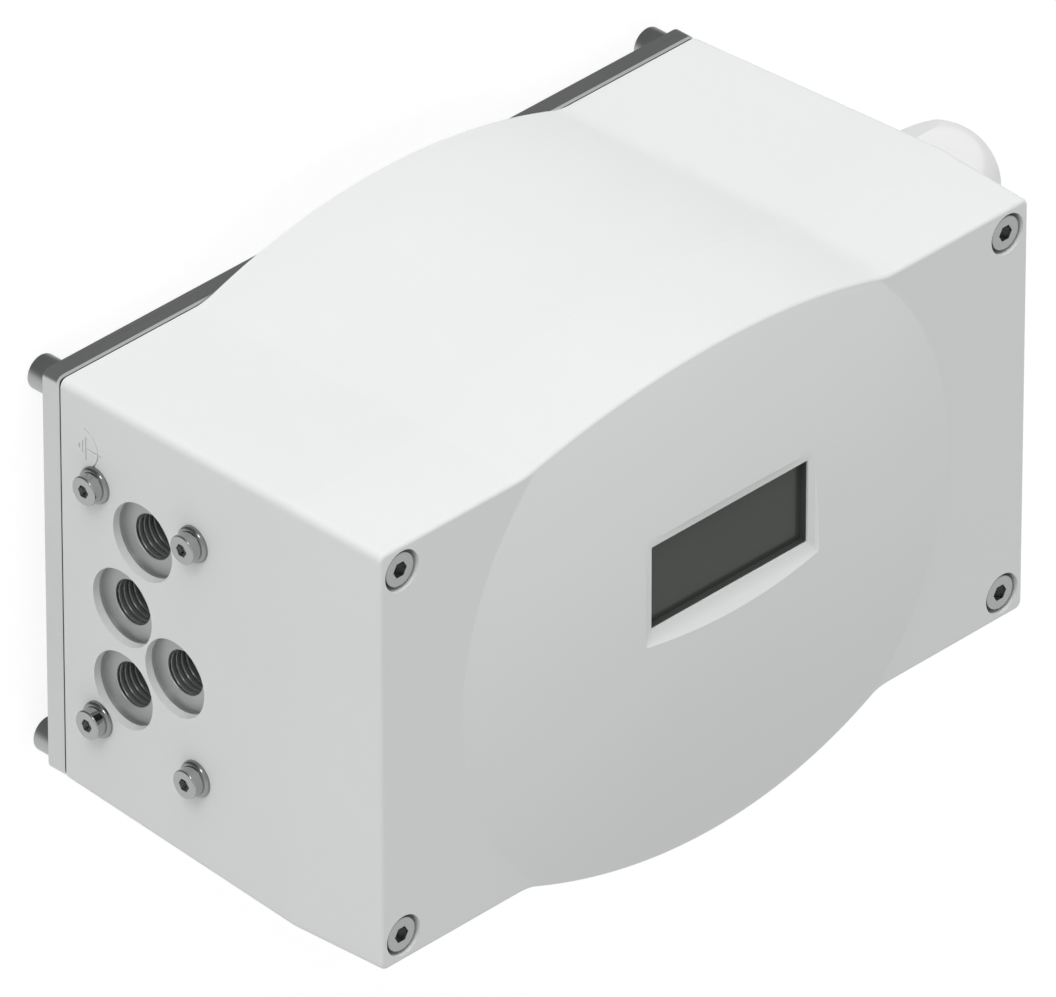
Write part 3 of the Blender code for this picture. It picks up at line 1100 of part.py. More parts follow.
def make_potentiometer():
    """The case on its bracket, and the shaft with the pinion below it, in mesh with the drive gear."""
    case_bottom = BRACKET_TOP + GAP
    bore, shaft_top = POT_SHAFT_RADIUS + GAP, case_bottom + POT_SHAFT_REACH
    thread_bottom = GEAR_TOP + POT_THREAD_END
    profile = ((bore, thread_bottom), (POT_THREAD_RADIUS, thread_bottom), (POT_THREAD_RADIUS, case_bottom),
               (POT_CASE_RADIUS, case_bottom), (POT_CASE_RADIUS, case_bottom + POT_CASE_HEIGHT),
               (0, case_bottom + POT_CASE_HEIGHT), (0, shaft_top + GAP), (bore, shaft_top + GAP))
    form = bmesh.new()
    points = [form.verts.new((radius, 0, height)) for radius, height in profile]
    order = points[6:] + points[:6]
    lines = [form.edges.new(pair) for pair in zip(order, order[1:])]
    bmesh.ops.spin(form, geom=points + lines, cent=(0, 0, 0), axis=(0, 0, 1), angle=2 * math.pi,
                   steps=INNER_STEPS, use_merge=True)
    piece("potentiometer", closed_mesh("potentiometer", form), black_plastic(), (POT_X, 0, 0))
    nut_top = BRACKET_UNDER - GAP
    hole = POT_THREAD_RADIUS + GAP
    nut = loft("pot_nut", [
        circle(hole, nut_top - POT_NUT_THICKNESS, 18),
        hexagon(POT_NUT_FLATS, nut_top - POT_NUT_THICKNESS, 18),
        hexagon(POT_NUT_FLATS, nut_top, 18), circle(hole, nut_top, 18)], closed=True)
    piece("pot_nut", nut, steel(), (POT_X, 0, 0))
    axis = axis_empty("pot_axis", (POT_X, 0, 0))
    shaft = flatted(circle(POT_SHAFT_RADIUS, 0, INNER_STEPS), POT_SHAFT_FLAT)
    rings = [shaft + (0, 0, GEAR_BOTTOM - 2 * GAP), shaft + (0, 0, GEAR_TOP + GAP),
             circle(POT_SHAFT_RADIUS, GEAR_TOP + GAP, INNER_STEPS),
             circle(POT_SHAFT_RADIUS, shaft_top, INNER_STEPS)]
    piece("pot_shaft", loft("pot_shaft", rings), steel(), parent=axis)
    outline = gear_outline(PINION_TEETH, math.pi / PINION_TEETH)
    bore_ring = flatted(circle(POT_SHAFT_RADIUS + GAP, 0, INNER_STEPS), POT_SHAFT_FLAT + GAP)
    rings = [[(x, y, z) for x, y in outline] for z in (GEAR_BOTTOM, GEAR_TOP)]
    pinion = piece("pot_pinion", loft("pot_pinion", rings), brass(), parent=axis)
    through = loft("pinion_bore", [
        bore_ring + (0, 0, height) for height in (GEAR_BOTTOM - WALL_OVERCUT, GEAR_TOP + WALL_OVERCUT)
    ])
    combine(pinion, cutter("pinion_bore", through, (POT_X, 0, 0)))


def make_pot_bracket():
    """A folded sheet: a foot on the plate, an upright, and a top flange with the potentiometer's hole."""
    foot_bottom = PLATE_TOP + GAP
    foot_top = foot_bottom + BRACKET_SHEET
    near, web, far = POT_X - BRACKET_NECK, WEB_X, WEB_X + BRACKET_SHEET + BRACKET_FOOT_LENGTH
    outline = ((near, BRACKET_UNDER), (web, BRACKET_UNDER), (web, foot_bottom), (far, foot_bottom),
               (far, foot_top), (web + BRACKET_SHEET, foot_top), (web + BRACKET_SHEET, BRACKET_TOP),
               (near, BRACKET_TOP))
    half = BRACKET_WIDTH / 2
    mesh = loft("pot_bracket", [[(x, y, z) for x, z in outline] for y in (-half, half)])
    bracket = piece("pot_bracket", mesh, steel())
    radius = POT_THREAD_RADIUS + GAP
    low, high = BRACKET_UNDER - WALL_OVERCUT, BRACKET_TOP + WALL_OVERCUT
    hole = turned("pot_hole", ((0, low), (radius, low), (radius, high), (0, high)), INNER_STEPS)
    combine(bracket, cutter("pot_hole", hole, (POT_X, 0, 0)))
    bore = BOARD_SCREW_RADIUS + GAP
    low, high = foot_bottom - WALL_OVERCUT, foot_top + WALL_OVERCUT
    hole = turned("bracket_hole", ((0, low), (bore, low), (bore, high), (0, high)), SMALL_STEPS)
    screw = small_screw("bracket_screw", foot_top + GAP - (PLATE_TOP - BRACKET_SCREW_DEPTH))
    for number, side in enumerate((-1, 1), 1):
        y = side * BRACKET_SCREW_SPACING / 2
        combine(bracket, cutter(f"bracket_hole_{number}", hole, (BRACKET_SCREW_X, y, 0)))
        piece(f"bracket_screw_{number}", screw, steel(), (BRACKET_SCREW_X, y, foot_top + GAP))


def make_gland():
    """The cable gland: body in the wall's threaded pad, sealing ring, rubber insert and domed nut."""
    steps = FINE_STEPS
    seat = gland_spot_face() + GAP
    flange = seat + GLAND_RING_THICKNESS + GAP
    neck = flange + GLAND_FLANGE
    neck_end = neck + GLAND_NECK_LENGTH
    inner_end = core_x(GLAND_Z) - GLAND_PAD_DEPTH - 1.0 * MM
    well = GLAND_NECK_RADIUS - 1.6 * MM
    well_bottom = neck + 1.0 * MM
    place, turn = (0, GLAND_Y, GLAND_Z), OUTWARD_RIGHT
    body = loft("gland_body", [
        circle(GLAND_BORE, inner_end, steps), circle(GLAND_THREAD_RADIUS, inner_end, steps),
        circle(GLAND_THREAD_RADIUS, flange, steps), hexagon(GLAND_FLATS, flange, steps, GLAND_HEX_TURN),
        hexagon(GLAND_FLATS, neck, steps, GLAND_HEX_TURN), circle(GLAND_NECK_RADIUS, neck, steps),
        circle(GLAND_NECK_RADIUS, neck_end, steps), circle(well, neck_end, steps),
        circle(well, well_bottom, steps), circle(GLAND_BORE, well_bottom, steps)], closed=True)
    piece("gland_body", body, grey_plastic(), place, turn)
    ring_inner = GLAND_THREAD_RADIUS + GAP
    ring = turned("gland_ring", ((ring_inner, seat), (ring_inner + GLAND_RING_WIDTH, seat),
                                 (ring_inner + GLAND_RING_WIDTH, seat + GLAND_RING_THICKNESS),
                                 (ring_inner, seat + GLAND_RING_THICKNESS)))
    piece("gland_ring", ring, black_rubber(), place, turn)
    insert_outer = well - GAP
    insert_inner = insert_outer - GLAND_INSERT_WALL
    insert_end = neck_end + 1.0 * MM
    insert = turned("gland_insert", ((insert_inner, well_bottom + GAP), (insert_outer, well_bottom + GAP),
                                     (insert_outer, insert_end), (insert_inner, insert_end)))
    piece("gland_insert", insert, black_rubber(), place, turn)
    make_gland_nut(neck + GAP, insert_end, place, turn)


def make_gland_nut(low, insert_end, place, turn):
    """The domed nut: a hexagon prism trimmed by a form whose dome is a quarter ellipse, then bored."""
    dome = low + GLAND_NUT_COLLAR
    nose = dome + GLAND_NUT_DOME
    rings = [hexagon(GLAND_FLATS, height, 12, GLAND_HEX_TURN) for height in (low, nose + WALL_OVERCUT)]
    nut = piece("gland_nut", loft("gland_nut", rings), grey_plastic(), place, turn)
    profile = [(0, low - WALL_OVERCUT), (GLAND_CORNER_RADIUS, low - WALL_OVERCUT)]
    for angle in np.linspace(0, math.pi / 2, 7):
        radius = GLAND_NUT_NOSE_RADIUS + (GLAND_CORNER_RADIUS - GLAND_NUT_NOSE_RADIUS) * math.cos(angle)
        profile.append((radius, dome + GLAND_NUT_DOME * math.sin(angle)))
    outer = turned("gland_nut_form", (*profile, (0, nose)))
    combine(nut, cutter("gland_nut_form", outer, place, turn), "INTERSECT")
    well = GLAND_NECK_RADIUS + GAP
    bore = turned("gland_nut_bore", (
        (0, low - WALL_OVERCUT), (well, low - WALL_OVERCUT), (well, insert_end + GAP),
        (GLAND_BORE, insert_end + 2 * MM), (GLAND_BORE, nose + WALL_OVERCUT), (0, nose + WALL_OVERCUT)))
    combine(nut, cutter("gland_nut_bore", bore, place, turn))


def main():
    clear_scene()
    make_hood()
    make_base_plate()
    make_hood_gasket()
    make_feet()
    make_hood_screws()
    make_display()
    make_main_board()
    make_keys()
    make_terminal_block()
    make_pneumatic_block()
    make_port_gasket()
    make_side_screws()
    make_pilot_valves()
    make_shaft_bearing()
    make_shaft()
    lighten_gear()
    make_potentiometer()
    make_pot_bracket()
    make_gland()
    sharpen_cut_edges()


main()
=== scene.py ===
# %% [markdown]
# # A valve positioner, dressed for its picture
#
# The object is a grey painted casting on a milled base plate. It stands on four turned feet, and its
# left end carries four threaded air ports and four socket screws. The solids come packed from the CAD
# model. This script gives each solid its finish, skins the casting and the turned pieces finely, adds
# the port threads and an earth sign that the solids leave out, and sets up the light and the camera.
#
# Everything is in metres, in the CAD model's own frame: +Z is the way the display faces, +X runs from
# the ports to the cable gland, and the feet stand at the bottom.

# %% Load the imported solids
import json
import math

import bmesh
import bpy
import numpy as np
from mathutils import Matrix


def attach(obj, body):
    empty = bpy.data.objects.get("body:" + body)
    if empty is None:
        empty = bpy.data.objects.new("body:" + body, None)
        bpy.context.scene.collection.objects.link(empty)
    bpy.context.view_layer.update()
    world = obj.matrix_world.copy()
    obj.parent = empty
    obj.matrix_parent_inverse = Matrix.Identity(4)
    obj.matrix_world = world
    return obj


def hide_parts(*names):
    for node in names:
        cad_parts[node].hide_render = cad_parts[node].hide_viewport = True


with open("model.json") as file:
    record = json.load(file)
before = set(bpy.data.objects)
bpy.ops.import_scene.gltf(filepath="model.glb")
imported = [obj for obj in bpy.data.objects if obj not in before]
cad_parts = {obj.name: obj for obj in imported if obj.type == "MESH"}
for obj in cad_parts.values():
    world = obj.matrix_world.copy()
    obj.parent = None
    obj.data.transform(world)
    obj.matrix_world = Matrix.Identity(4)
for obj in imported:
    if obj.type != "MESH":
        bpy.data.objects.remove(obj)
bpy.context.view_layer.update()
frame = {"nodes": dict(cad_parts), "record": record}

MM = 0.001

# %% [markdown]
# ## The camera
#
# The picture was taken with a long lens from far away, so parallel edges stay almost parallel. The camera
# is described by where it looks from in the picture's own axes, in which the object stands on its long
# side: a turn round the upright axis, a tilt, a distance, and two small shifts of the aim. Turning those
# three directions into the CAD frame gives the camera's own axes.

# %% Camera
def picture_to_cad(vector):
    """The picture's axes (right, away, up) turned into the CAD frame, whose +Z faces the viewer."""
    right, away, up = vector
    return np.array((right, up, -away))


def place_camera(turn, tilt, distance, aim, front, lens):
    """Sets up the camera from two angles and a distance.

    Its back axis runs from the object to the camera, right is level, and up completes them. The eye is the
    aim point moved along the three axes, and front is the height of the picture's origin.
    """
    back = np.array((math.sin(turn) * math.cos(tilt), -math.cos(turn) * math.cos(tilt), math.sin(tilt)))
    right = np.cross((0, 0, 1), back)
    right /= np.linalg.norm(right)
    up = np.cross(back, right)
    eye = -aim[0] * right - aim[1] * up + distance * back
    data = bpy.data.cameras.new("camera")
    data.lens, data.sensor_width, data.sensor_fit = lens, SENSOR_WIDTH, "HORIZONTAL"
    data.clip_start, data.clip_end = CLIP
    camera = bpy.data.objects.new("camera", data)
    matrix = np.eye(4)
    matrix[:3, :3] = np.array([picture_to_cad(axis) for axis in (right, up, back)]).T
    matrix[:3, 3] = picture_to_cad(eye) + (0, 0, front)
    camera.matrix_world = matrix.T.tolist()
    bpy.context.scene.collection.objects.link(camera)
    bpy.context.scene.camera = camera
    return matrix[:3, 3]


FRONT = 100.3 * MM  # height of the casting's flat front face
TURN, TILT = math.radians(-45.178), math.radians(33.548)
DISTANCE, AIM = 3942.1 * MM, (35.484 * MM, -16.606 * MM)
LONG_LENS, SENSOR_WIDTH = 680.0, 36.0  # Blender counts these two in millimetres
CLIP = (0.1, 50.0)
eye = place_camera(TURN, TILT, DISTANCE, AIM, FRONT, LONG_LENS)
print("camera stands at", np.round(eye, 3), "m")

# %% [markdown]
# ## Surfaces from rings
#
# Almost every new piece here is a skin over rings: a profile turned round an axis, an outline lifted through
# heights, or a small section carried along a path. The rings are worked out as one array of shape
# (rings, steps, 3), and one function turns such an array into a closed mesh. Smooth shading stops at
# edges sharper than an angle, so that a chamfer stays crisp while a barrel stays round.

# %% A closed mesh over rings
def finish_mesh(mesh, corner=28.0):
    """Merges doubled points, points the faces outwards and keeps edges above the corner angle sharp."""
    form = bmesh.new()
    form.from_mesh(mesh)
    bmesh.ops.remove_doubles(form, verts=form.verts, dist=1e-7)
    bmesh.ops.recalc_face_normals(form, faces=form.faces)
    form.to_mesh(mesh)
    form.free()
    mesh.shade_smooth()
    mesh.set_sharp_from_angle(angle=math.radians(corner))
    return mesh


def skin(name, rings, closed=False, corner=28.0):
    """Quads between neighbouring rings, with a cap on each end, or the last ring joined to the first."""
    count, steps = rings.shape[:2]
    index = np.arange(count * steps).reshape(count, steps)
    lower, upper = (index, np.roll(index, -1, axis=0)) if closed else (index[:-1], index[1:])
    quads = np.stack([lower, np.roll(lower, -1, axis=1), np.roll(upper, -1, axis=1), upper], axis=-1)
    faces = quads.reshape(-1, 4).tolist()
    if not closed:
        faces += [index[0, ::-1].tolist(), index[-1].tolist()]
    mesh = bpy.data.meshes.new(name)
    mesh.from_pydata(rings.reshape(-1, 3).tolist(), [], faces)
    return finish_mesh(mesh, corner)


# %% Turned forms and where they point
AXES = {
    "up": np.array(((1.0, 0, 0), (0, 1, 0), (0, 0, 1))),
    "left": np.array(((0.0, 0, 1), (0, 1, 0), (-1, 0, 0))),
    "right": np.array(((0.0, 0, -1), (0, 1, 0), (1, 0, 0))),
}
FULL_TURN = 2 * np.pi


def around(steps):
    """Evenly spaced angles of one full turn."""
    return np.linspace(0, FULL_TURN, steps, endpoint=False)


def polar(radius, angle, height):
    """Points (radius * cos a, radius * sin a, height), for arrays whose shapes fit together."""
    return np.stack(np.broadcast_arrays(radius * np.cos(angle), radius * np.sin(angle), height), axis=-1)


def turned(profile, steps=96):
    """Rings of a turned form: each (radius, height) gives radius * (cos, sin) at its height."""
    radius, height = np.array(profile, float).T[:, :, None]
    return polar(radius, around(steps), height)


def set_down(rings, centre=(0, 0, 0), towards="up"):
    """Rings turned so that their own height runs up, left or right, and moved to their centre."""
    return rings @ AXES[towards] + np.array(centre)


print("turned form test:", turned(((1, 0), (1, 1))).shape)

# %% [markdown]
# ## Shared effects
#
# Real finishes are never one flat colour. Four small effects serve all the materials: a fine grain for paint,
# rubber and moulded plastic, a slow drift of tone, the rings that a lathe leaves round an axis, and the
# straight lines that milling leaves. Each is a shader node group with named sockets, built once. It puts out
# values, colours or normals, and each material feeds them to its own shader.

# %% Group builder
def effect(name, inputs, outputs):
    """A new node group with its sockets, as (tree, input node, output node)."""
    tree = bpy.data.node_groups.new(name, "ShaderNodeTree")
    for direction, sockets in (("INPUT", inputs), ("OUTPUT", outputs)):
        for label, kind, *default in sockets:
            socket = tree.interface.new_socket(name=label, in_out=direction,
                                               socket_type="NodeSocket" + kind)
            if default:
                socket.default_value = default[0]
    return tree, tree.nodes.new("NodeGroupInput"), tree.nodes.new("NodeGroupOutput")


def node(tree, kind, links=(), **settings):
    """A node with its settings; links maps an input's name or number to a socket or a value."""
    made = tree.nodes.new("ShaderNode" + kind)
    for key, value in settings.items():
        setattr(made, key, value)
    for key, value in dict(links).items():
        socket = made.inputs[key]
        if isinstance(value, bpy.types.NodeSocket):
            tree.links.new(value, socket)
        else:
            socket.default_value = value
    return made


# %% The four effects
def texture_effect(name, scale, height, make):
    """A group that puts out a texture's value, and the normal of a surface that the texture bumps."""
    tree, start, end = effect(
        name, (("Vector", "Vector"), ("Scale", "Float", scale), ("Height", "Float", height)),
        (("Value", "Float"), ("Normal", "Vector")))
    value = make(tree, start.outputs["Vector"], start.outputs["Scale"]).outputs["Fac"]
    bump = node(tree, "Bump", {"Height": value, "Distance": start.outputs["Height"]})
    tree.links.new(value, end.inputs["Value"])
    tree.links.new(bump.outputs["Normal"], end.inputs["Normal"])
    return tree


def fine_noise(tree, vector, scale):
    """Fine noise, for a grain."""
    return node(tree, "TexNoise", {"Vector": vector, "Scale": scale, "Detail": 3.0, "Roughness": 0.55})


def lathe_rings(tree, vector, scale):
    """Rings round the vector's own Z axis, as a lathe leaves them, broken a little by noise."""
    return node(tree, "TexWave", {"Vector": vector, "Scale": scale, "Distortion": 1.2, "Detail": 2.0,
                                  "Detail Scale": 1.5}, wave_type="RINGS", rings_direction="Z")


ALONG_CUT = (0.02, 0.1, 1.0)  # how much of X, Y and Z reaches the milling's noise


def cutter_lines(tree, vector, scale):
    """Fine straight lines along an edge: noise whose vector is squeezed along X, and less along Y."""
    squeeze = node(tree, "VectorMath", {0: vector, 1: ALONG_CUT}, operation="MULTIPLY")
    return node(tree, "TexNoise", {"Vector": squeeze.outputs[0], "Scale": scale, "Detail": 3.0})


def tone_drift():
    """A colour whose brightness drifts slowly: colour times one plus or minus the amount."""
    tree, start, end = effect(
        "tone_drift",
        (("Vector", "Vector"), ("Colour", "Color", (0.8, 0.8, 0.8, 1)), ("Scale", "Float", 20.0),
         ("Amount", "Float", 0.04)),
        (("Colour", "Color"),))
    noise = node(tree, "TexNoise", {"Vector": start.outputs["Vector"], "Scale": start.outputs["Scale"],
                                    "Detail": 4.0})
    low, high = (node(tree, "Math", {0: 1.0, 1: start.outputs["Amount"]}, operation=sign)
                 for sign in ("SUBTRACT", "ADD"))
    level = node(tree, "MapRange", {"Value": noise.outputs["Fac"], "From Min": 0.3, "From Max": 0.7,
                                    "To Min": low.outputs[0], "To Max": high.outputs[0]})
    scaled = node(tree, "VectorMath", {0: start.outputs["Colour"], "Scale": level.outputs[0]},
                  operation="SCALE")
    tree.links.new(scaled.outputs[0], end.inputs["Colour"])
    return tree


EFFECTS = {"grain": texture_effect("fine_grain", 900.0, 0.00002, fine_noise),
           "drift": tone_drift(),
           "turning": texture_effect("turning_rings", 900.0, 0.00001, lathe_rings),
           "milling": texture_effect("milling_lines", 1400.0, 0.00001, cutter_lines)}
print("effects:", ", ".join(tree.name for tree in EFFECTS.values()))

# %% [markdown]
# ## Materials
#
# One builder makes every opaque finish: a drifting base colour, a texture that bumps the surface and
# stirs the roughness, and constants set on the shader itself. Patterns read Object coordinates, which are
# the CAD frame's metres, so a grain of 900 has cells of about a millimetre. Rings for the corner screws use
# a trick: the four corners mirror each other, so the coordinates' absolute values bring all four onto one
# axis.

# %% Material builder
def place_effect(tree, name, **links):
    """Places an effect in a material's tree; a link is a socket or a plain value."""
    made = tree.nodes.new("ShaderNodeGroup")
    made.node_tree = EFFECTS[name]
    for key, value in links.items():
        if isinstance(value, bpy.types.NodeSocket):
            tree.links.new(value, made.inputs[key])
        else:
            made.inputs[key].default_value = value
    return made


def material(name, colour, roughness, texture="grain", scale=900.0, height=0.00002, drift=0.04,
             drift_scale=20.0, stir=0.08, metallic=0.0, place=None, constants=()):
    """A finish: colour drifts, the texture bumps and stirs the roughness, and the rest are constants.

    place(tree, coordinates) may move the pattern onto a piece's own axis.
    """
    made = bpy.data.materials.new(name)
    made.use_nodes = True
    tree = made.node_tree
    shader = tree.nodes["Principled BSDF"]
    where = node(tree, "TexCoord").outputs["Object"]
    pattern = place(tree, where) if place else where
    tone = place_effect(tree, "drift", Vector=where, Colour=(*colour, 1), Scale=drift_scale, Amount=drift)
    surface = place_effect(tree, texture, Vector=pattern, Scale=scale, Height=height)
    rough = node(tree, "MapRange", {"Value": surface.outputs["Value"], "To Min": roughness - stir,
                                    "To Max": roughness + stir})
    tree.links.new(tone.outputs["Colour"], shader.inputs["Base Color"])
    tree.links.new(rough.outputs[0], shader.inputs["Roughness"])
    tree.links.new(surface.outputs["Normal"], shader.inputs["Normal"])
    shader.inputs["Metallic"].default_value = metallic
    for key, value in dict(constants).items():
        shader.inputs[key].default_value = value
    return made


# %% Where the lathe rings are centred
CORNER_SCREW = (85.0 * MM, 43.05 * MM)
SIDE_SCREW_Y = 27.8 * MM
SIDE_SCREW_LOW, SIDE_SCREW_HIGH = 19.8 * MM, 48.4 * MM


def onto_corner_screws(tree, where):
    """Absolute coordinates fold the four corners onto one, whose axis becomes the origin."""
    folded = node(tree, "VectorMath", {0: where}, operation="ABSOLUTE").outputs[0]
    x, y = CORNER_SCREW
    return node(tree, "Mapping", {"Vector": folded, "Location": (-x, -y, 0)}).outputs[0]


def onto_side_screws(tree, where):
    """The same fold for the side screws, about their middle height, then turned so that -X becomes Z."""
    middle, half = (SIDE_SCREW_LOW + SIDE_SCREW_HIGH) / 2, (SIDE_SCREW_HIGH - SIDE_SCREW_LOW) / 2
    lowered = node(tree, "VectorMath", {0: where, 1: (0, 0, middle)}, operation="SUBTRACT")
    folded = node(tree, "VectorMath", {0: lowered.outputs[0]}, operation="ABSOLUTE")
    centred = node(tree, "VectorMath", {0: folded.outputs[0], 1: (0, SIDE_SCREW_Y, half)},
                   operation="SUBTRACT")
    quarter = (0, math.pi / 2, 0)
    return node(tree, "Mapping", {"Vector": centred.outputs[0], "Rotation": quarter}).outputs[0]


# %% The finishes
PAINT = material("grey_powder_paint", (0.78, 0.795, 0.79), 0.5, scale=1500, height=0.000007, drift=0.01,
                 drift_scale=14, stir=0.05, constants={"Specular IOR Level": 0.35})
PLATE = material("milled_plate", (0.6, 0.615, 0.61), 0.3, "milling", 1400, 0.000006, metallic=1.0,
                 drift=0.05)
RING_FACE = material("turned_port_ring", (0.43, 0.44, 0.435), 0.42, scale=2600, height=0.000003,
                     metallic=0.75, drift=0.05, stir=0.04)
FOOT_STEEL = material("turned_foot_steel", (0.45, 0.465, 0.46), 0.3, "turning", 600, 0.000006,
                      metallic=1.0, place=onto_corner_screws)
SCREW_STEEL = material("turned_screw_steel", (0.39, 0.4, 0.395), 0.28, "turning", 900, 0.000005,
                       metallic=1.0, place=onto_corner_screws)
BRIGHT_STEEL = material("polished_screw_steel", (0.42, 0.43, 0.425), 0.14, "turning", 900, 0.000002,
                        stir=0.03, metallic=1.0, place=onto_side_screws)
WASHER_STEEL = material("turned_washer_steel", (0.3, 0.31, 0.305), 0.18, "turning", 900, 0.000002,
                        stir=0.03, metallic=1.0, place=onto_side_screws)
THREAD_STEEL = material("cut_thread_steel", (0.22, 0.228, 0.225), 0.2, scale=3000, height=0.000002,
                        metallic=0.5, stir=0.03)
GLAND_PLASTIC = material("gland_plastic", (0.79, 0.795, 0.79), 0.42, scale=2400, height=0.000004,
                         drift=0.01, constants={"Specular IOR Level": 0.4})
LINING = material("lining_rubber", (0.055, 0.058, 0.055), 0.5, scale=2600, height=0.000004, drift=0.05)
RUBBER = material("black_rubber", (0.022, 0.022, 0.023), 0.62, scale=2600, height=0.00002, drift=0.1)
MOULDED_BLACK = material("moulded_black", (0.035, 0.036, 0.038), 0.45, scale=2000, height=0.00001,
                         drift=0.08)
KEY_PLASTIC = material("key_plastic", (0.68, 0.69, 0.68), 0.45, scale=2000, height=0.00001, drift=0.03)
BRASS = material("machined_brass", (0.72, 0.53, 0.26), 0.28, "turning", 700, 0.000006, metallic=1.0,
                 drift=0.06)
SHEET_STEEL = material("zinc_sheet", (0.6, 0.61, 0.6), 0.34, scale=500, height=0.000006, metallic=1.0,
                       drift=0.08, drift_scale=90)
GLASS = material("smoked_display_glass", (0.058, 0.064, 0.057), 0.2, scale=60, height=0.0, drift=0.03,
                 stir=0.02, constants={"Specular IOR Level": 0.25})

# %% [markdown]
# The circuit boards sit inside, behind the glass and under the cover. Their solder mask is green, with copper
# tracks that show through as paler lines: a brick pattern gives the straight runs.

# %% Circuit board finish
TRACK_GREEN = (0.05, 0.26, 0.13, 1)


def circuit_material():
    """The board's green, mixed with paler green in the joints of a brick pattern, which are the tracks."""
    made = material("green_circuit_board", (0.015, 0.14, 0.07), 0.4, scale=1600, height=0.000008, drift=0.1)
    tree = made.node_tree
    shader = tree.nodes["Principled BSDF"]
    tone = shader.inputs["Base Color"].links[0].from_socket
    where = node(tree, "TexCoord").outputs["Object"]
    tracks = node(tree, "TexBrick", {"Vector": where, "Scale": 120.0, "Mortar Size": 0.03,
                                     "Brick Width": 0.9, "Row Height": 0.16})
    mix = node(tree, "Mix", {"Factor": tracks.outputs["Fac"], 6: tone, 7: TRACK_GREEN}, data_type="RGBA")
    tree.links.new(mix.outputs[2], shader.inputs["Base Color"])
    return made


CIRCUIT = circuit_material()

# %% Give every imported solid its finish
BY_SLOT = {
    "grey_paint": PAINT, "milled_aluminium": PLATE, "bright_steel": SHEET_STEEL, "brass": BRASS,
    "black_rubber": RUBBER, "smoked_glass": GLASS, "circuit_board": CIRCUIT, "black_plastic": MOULDED_BLACK,
    "grey_plastic": KEY_PLASTIC,
}
slots = {row["node"]: row["material_slot"] for row in frame["record"]["subparts"]}
for name, solid in frame["nodes"].items():
    moulded_gland = name.startswith("gland_") and slots[name] == "grey_plastic"
    finish = GLAND_PLASTIC if moulded_gland else BY_SLOT[slots[name]]
    for place in solid.material_slots:
        place.material = finish
    if not solid.material_slots:
        solid.data.materials.append(finish)
print(len(frame["nodes"]), "solids have a finish")


# %% A new piece
STOOD_FOR = {}


def piece(name, mesh, finish, stands_for=(), body="housing"):
    """Links a mesh, gives it a finish, says which solids it stands for, and lets it ride on its body."""
    STOOD_FOR[name] = stands_for
    thing = bpy.data.objects.new(name, mesh)
    bpy.context.scene.collection.objects.link(thing)
    mesh.materials.clear()
    mesh.materials.append(finish)
    if stands_for:
        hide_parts(*stands_for)
    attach(thing, body)
    return thing


# %% [markdown]
# ## The casting
#
# The casting is the object's main form: a long box whose sides draft inwards from a parting line, a bulge
# on each long side, and a shallow dome on the front that meets the flat in a crease. The outline is one
# quarter of straight lines and arcs, mirrored twice. Extra points close to each bend hold the shading flat
# on the flat faces. The front is a fan of rings from the outline to the centre, lifted by the dome's
# formula.

# %% Sizes of the casting
PARTING, RIM = 76.2 * MM, 9.6 * MM
FRONT_HALF = np.array((91.0, 49.05)) * MM
FRONT_SLOPE, REAR_SLOPE = math.tan(math.radians(1.94)), math.tan(math.radians(2.0))
PARTING_HALF = FRONT_HALF + (FRONT - PARTING) * FRONT_SLOPE
RIM_HALF = PARTING_HALF - (PARTING - RIM) * REAR_SLOPE
CORNER_ROUND, EDGE_ROUND = 1.8 * MM, 0.85 * MM
BULGE_CHORD, BULGE_RISE, BULGE_BLEND = 50.0 * MM, 8.99 * MM, 15.0 * MM
BULGE_ROUND = (BULGE_CHORD**2 + BULGE_RISE**2) / (2 * BULGE_RISE)
DOME_ROUND, DOME_HEIGHT, DOME_BLEND = 300.0 * MM, 7.96 * MM, 2.5 * MM
DOME_FOOT = math.sqrt((DOME_ROUND + DOME_BLEND) ** 2 - (DOME_ROUND + DOME_BLEND - DOME_HEIGHT) ** 2)
DOME_EDGE = DOME_FOOT * DOME_ROUND / (DOME_ROUND + DOME_BLEND)
HOLD = 0.12 * MM  # distance of a holding point from a bend
SEAM = 0.15 * MM  # broken off the rim's edge, which widens the dark seam over the plate


# %% Outline and dome
def outline(half, inset=0.0):
    """One quarter from +X to +Y (side, corner arc, flat, hollow arc, bulge arc), and its mirror images."""
    x, y = half
    turn = BULGE_ROUND + BULGE_BLEND
    reach = math.sqrt(turn**2 - (turn - BULGE_RISE) ** 2)
    swing = math.asin(reach / turn)
    corner = np.array((x - CORNER_ROUND, y - CORNER_ROUND))
    along = np.append(np.linspace(0, corner[1] - 6 * HOLD, 5), corner[1] - HOLD)
    side = np.column_stack([np.full(len(along), x - inset), along])
    bend = np.linspace(0, np.pi / 2, 9)[:, None]
    arc = corner + (CORNER_ROUND - inset) * np.hstack([np.cos(bend), np.sin(bend)])
    along = np.concatenate([[corner[0] - HOLD], np.linspace(corner[0] - 6 * HOLD, reach, 5)[:-1]])
    flat = np.column_stack([along, np.full(len(along), y - inset)])
    bend = np.linspace(0, swing, 20, endpoint=False)
    hollow = BULGE_BLEND + inset
    into = np.column_stack([reach - hollow * np.sin(bend), y + BULGE_BLEND - hollow * np.cos(bend)])
    bend = np.linspace(swing, 0, 26)
    out = BULGE_ROUND - inset
    bulge = np.column_stack([out * np.sin(bend), y + BULGE_RISE - BULGE_ROUND + out * np.cos(bend)])
    quarter = np.concatenate([side, arc, flat, into, bulge])
    return np.concatenate([quarter, quarter[-2::-1] * (-1, 1), quarter[1:] * (-1, -1),
                           quarter[-2:0:-1] * (1, -1)])


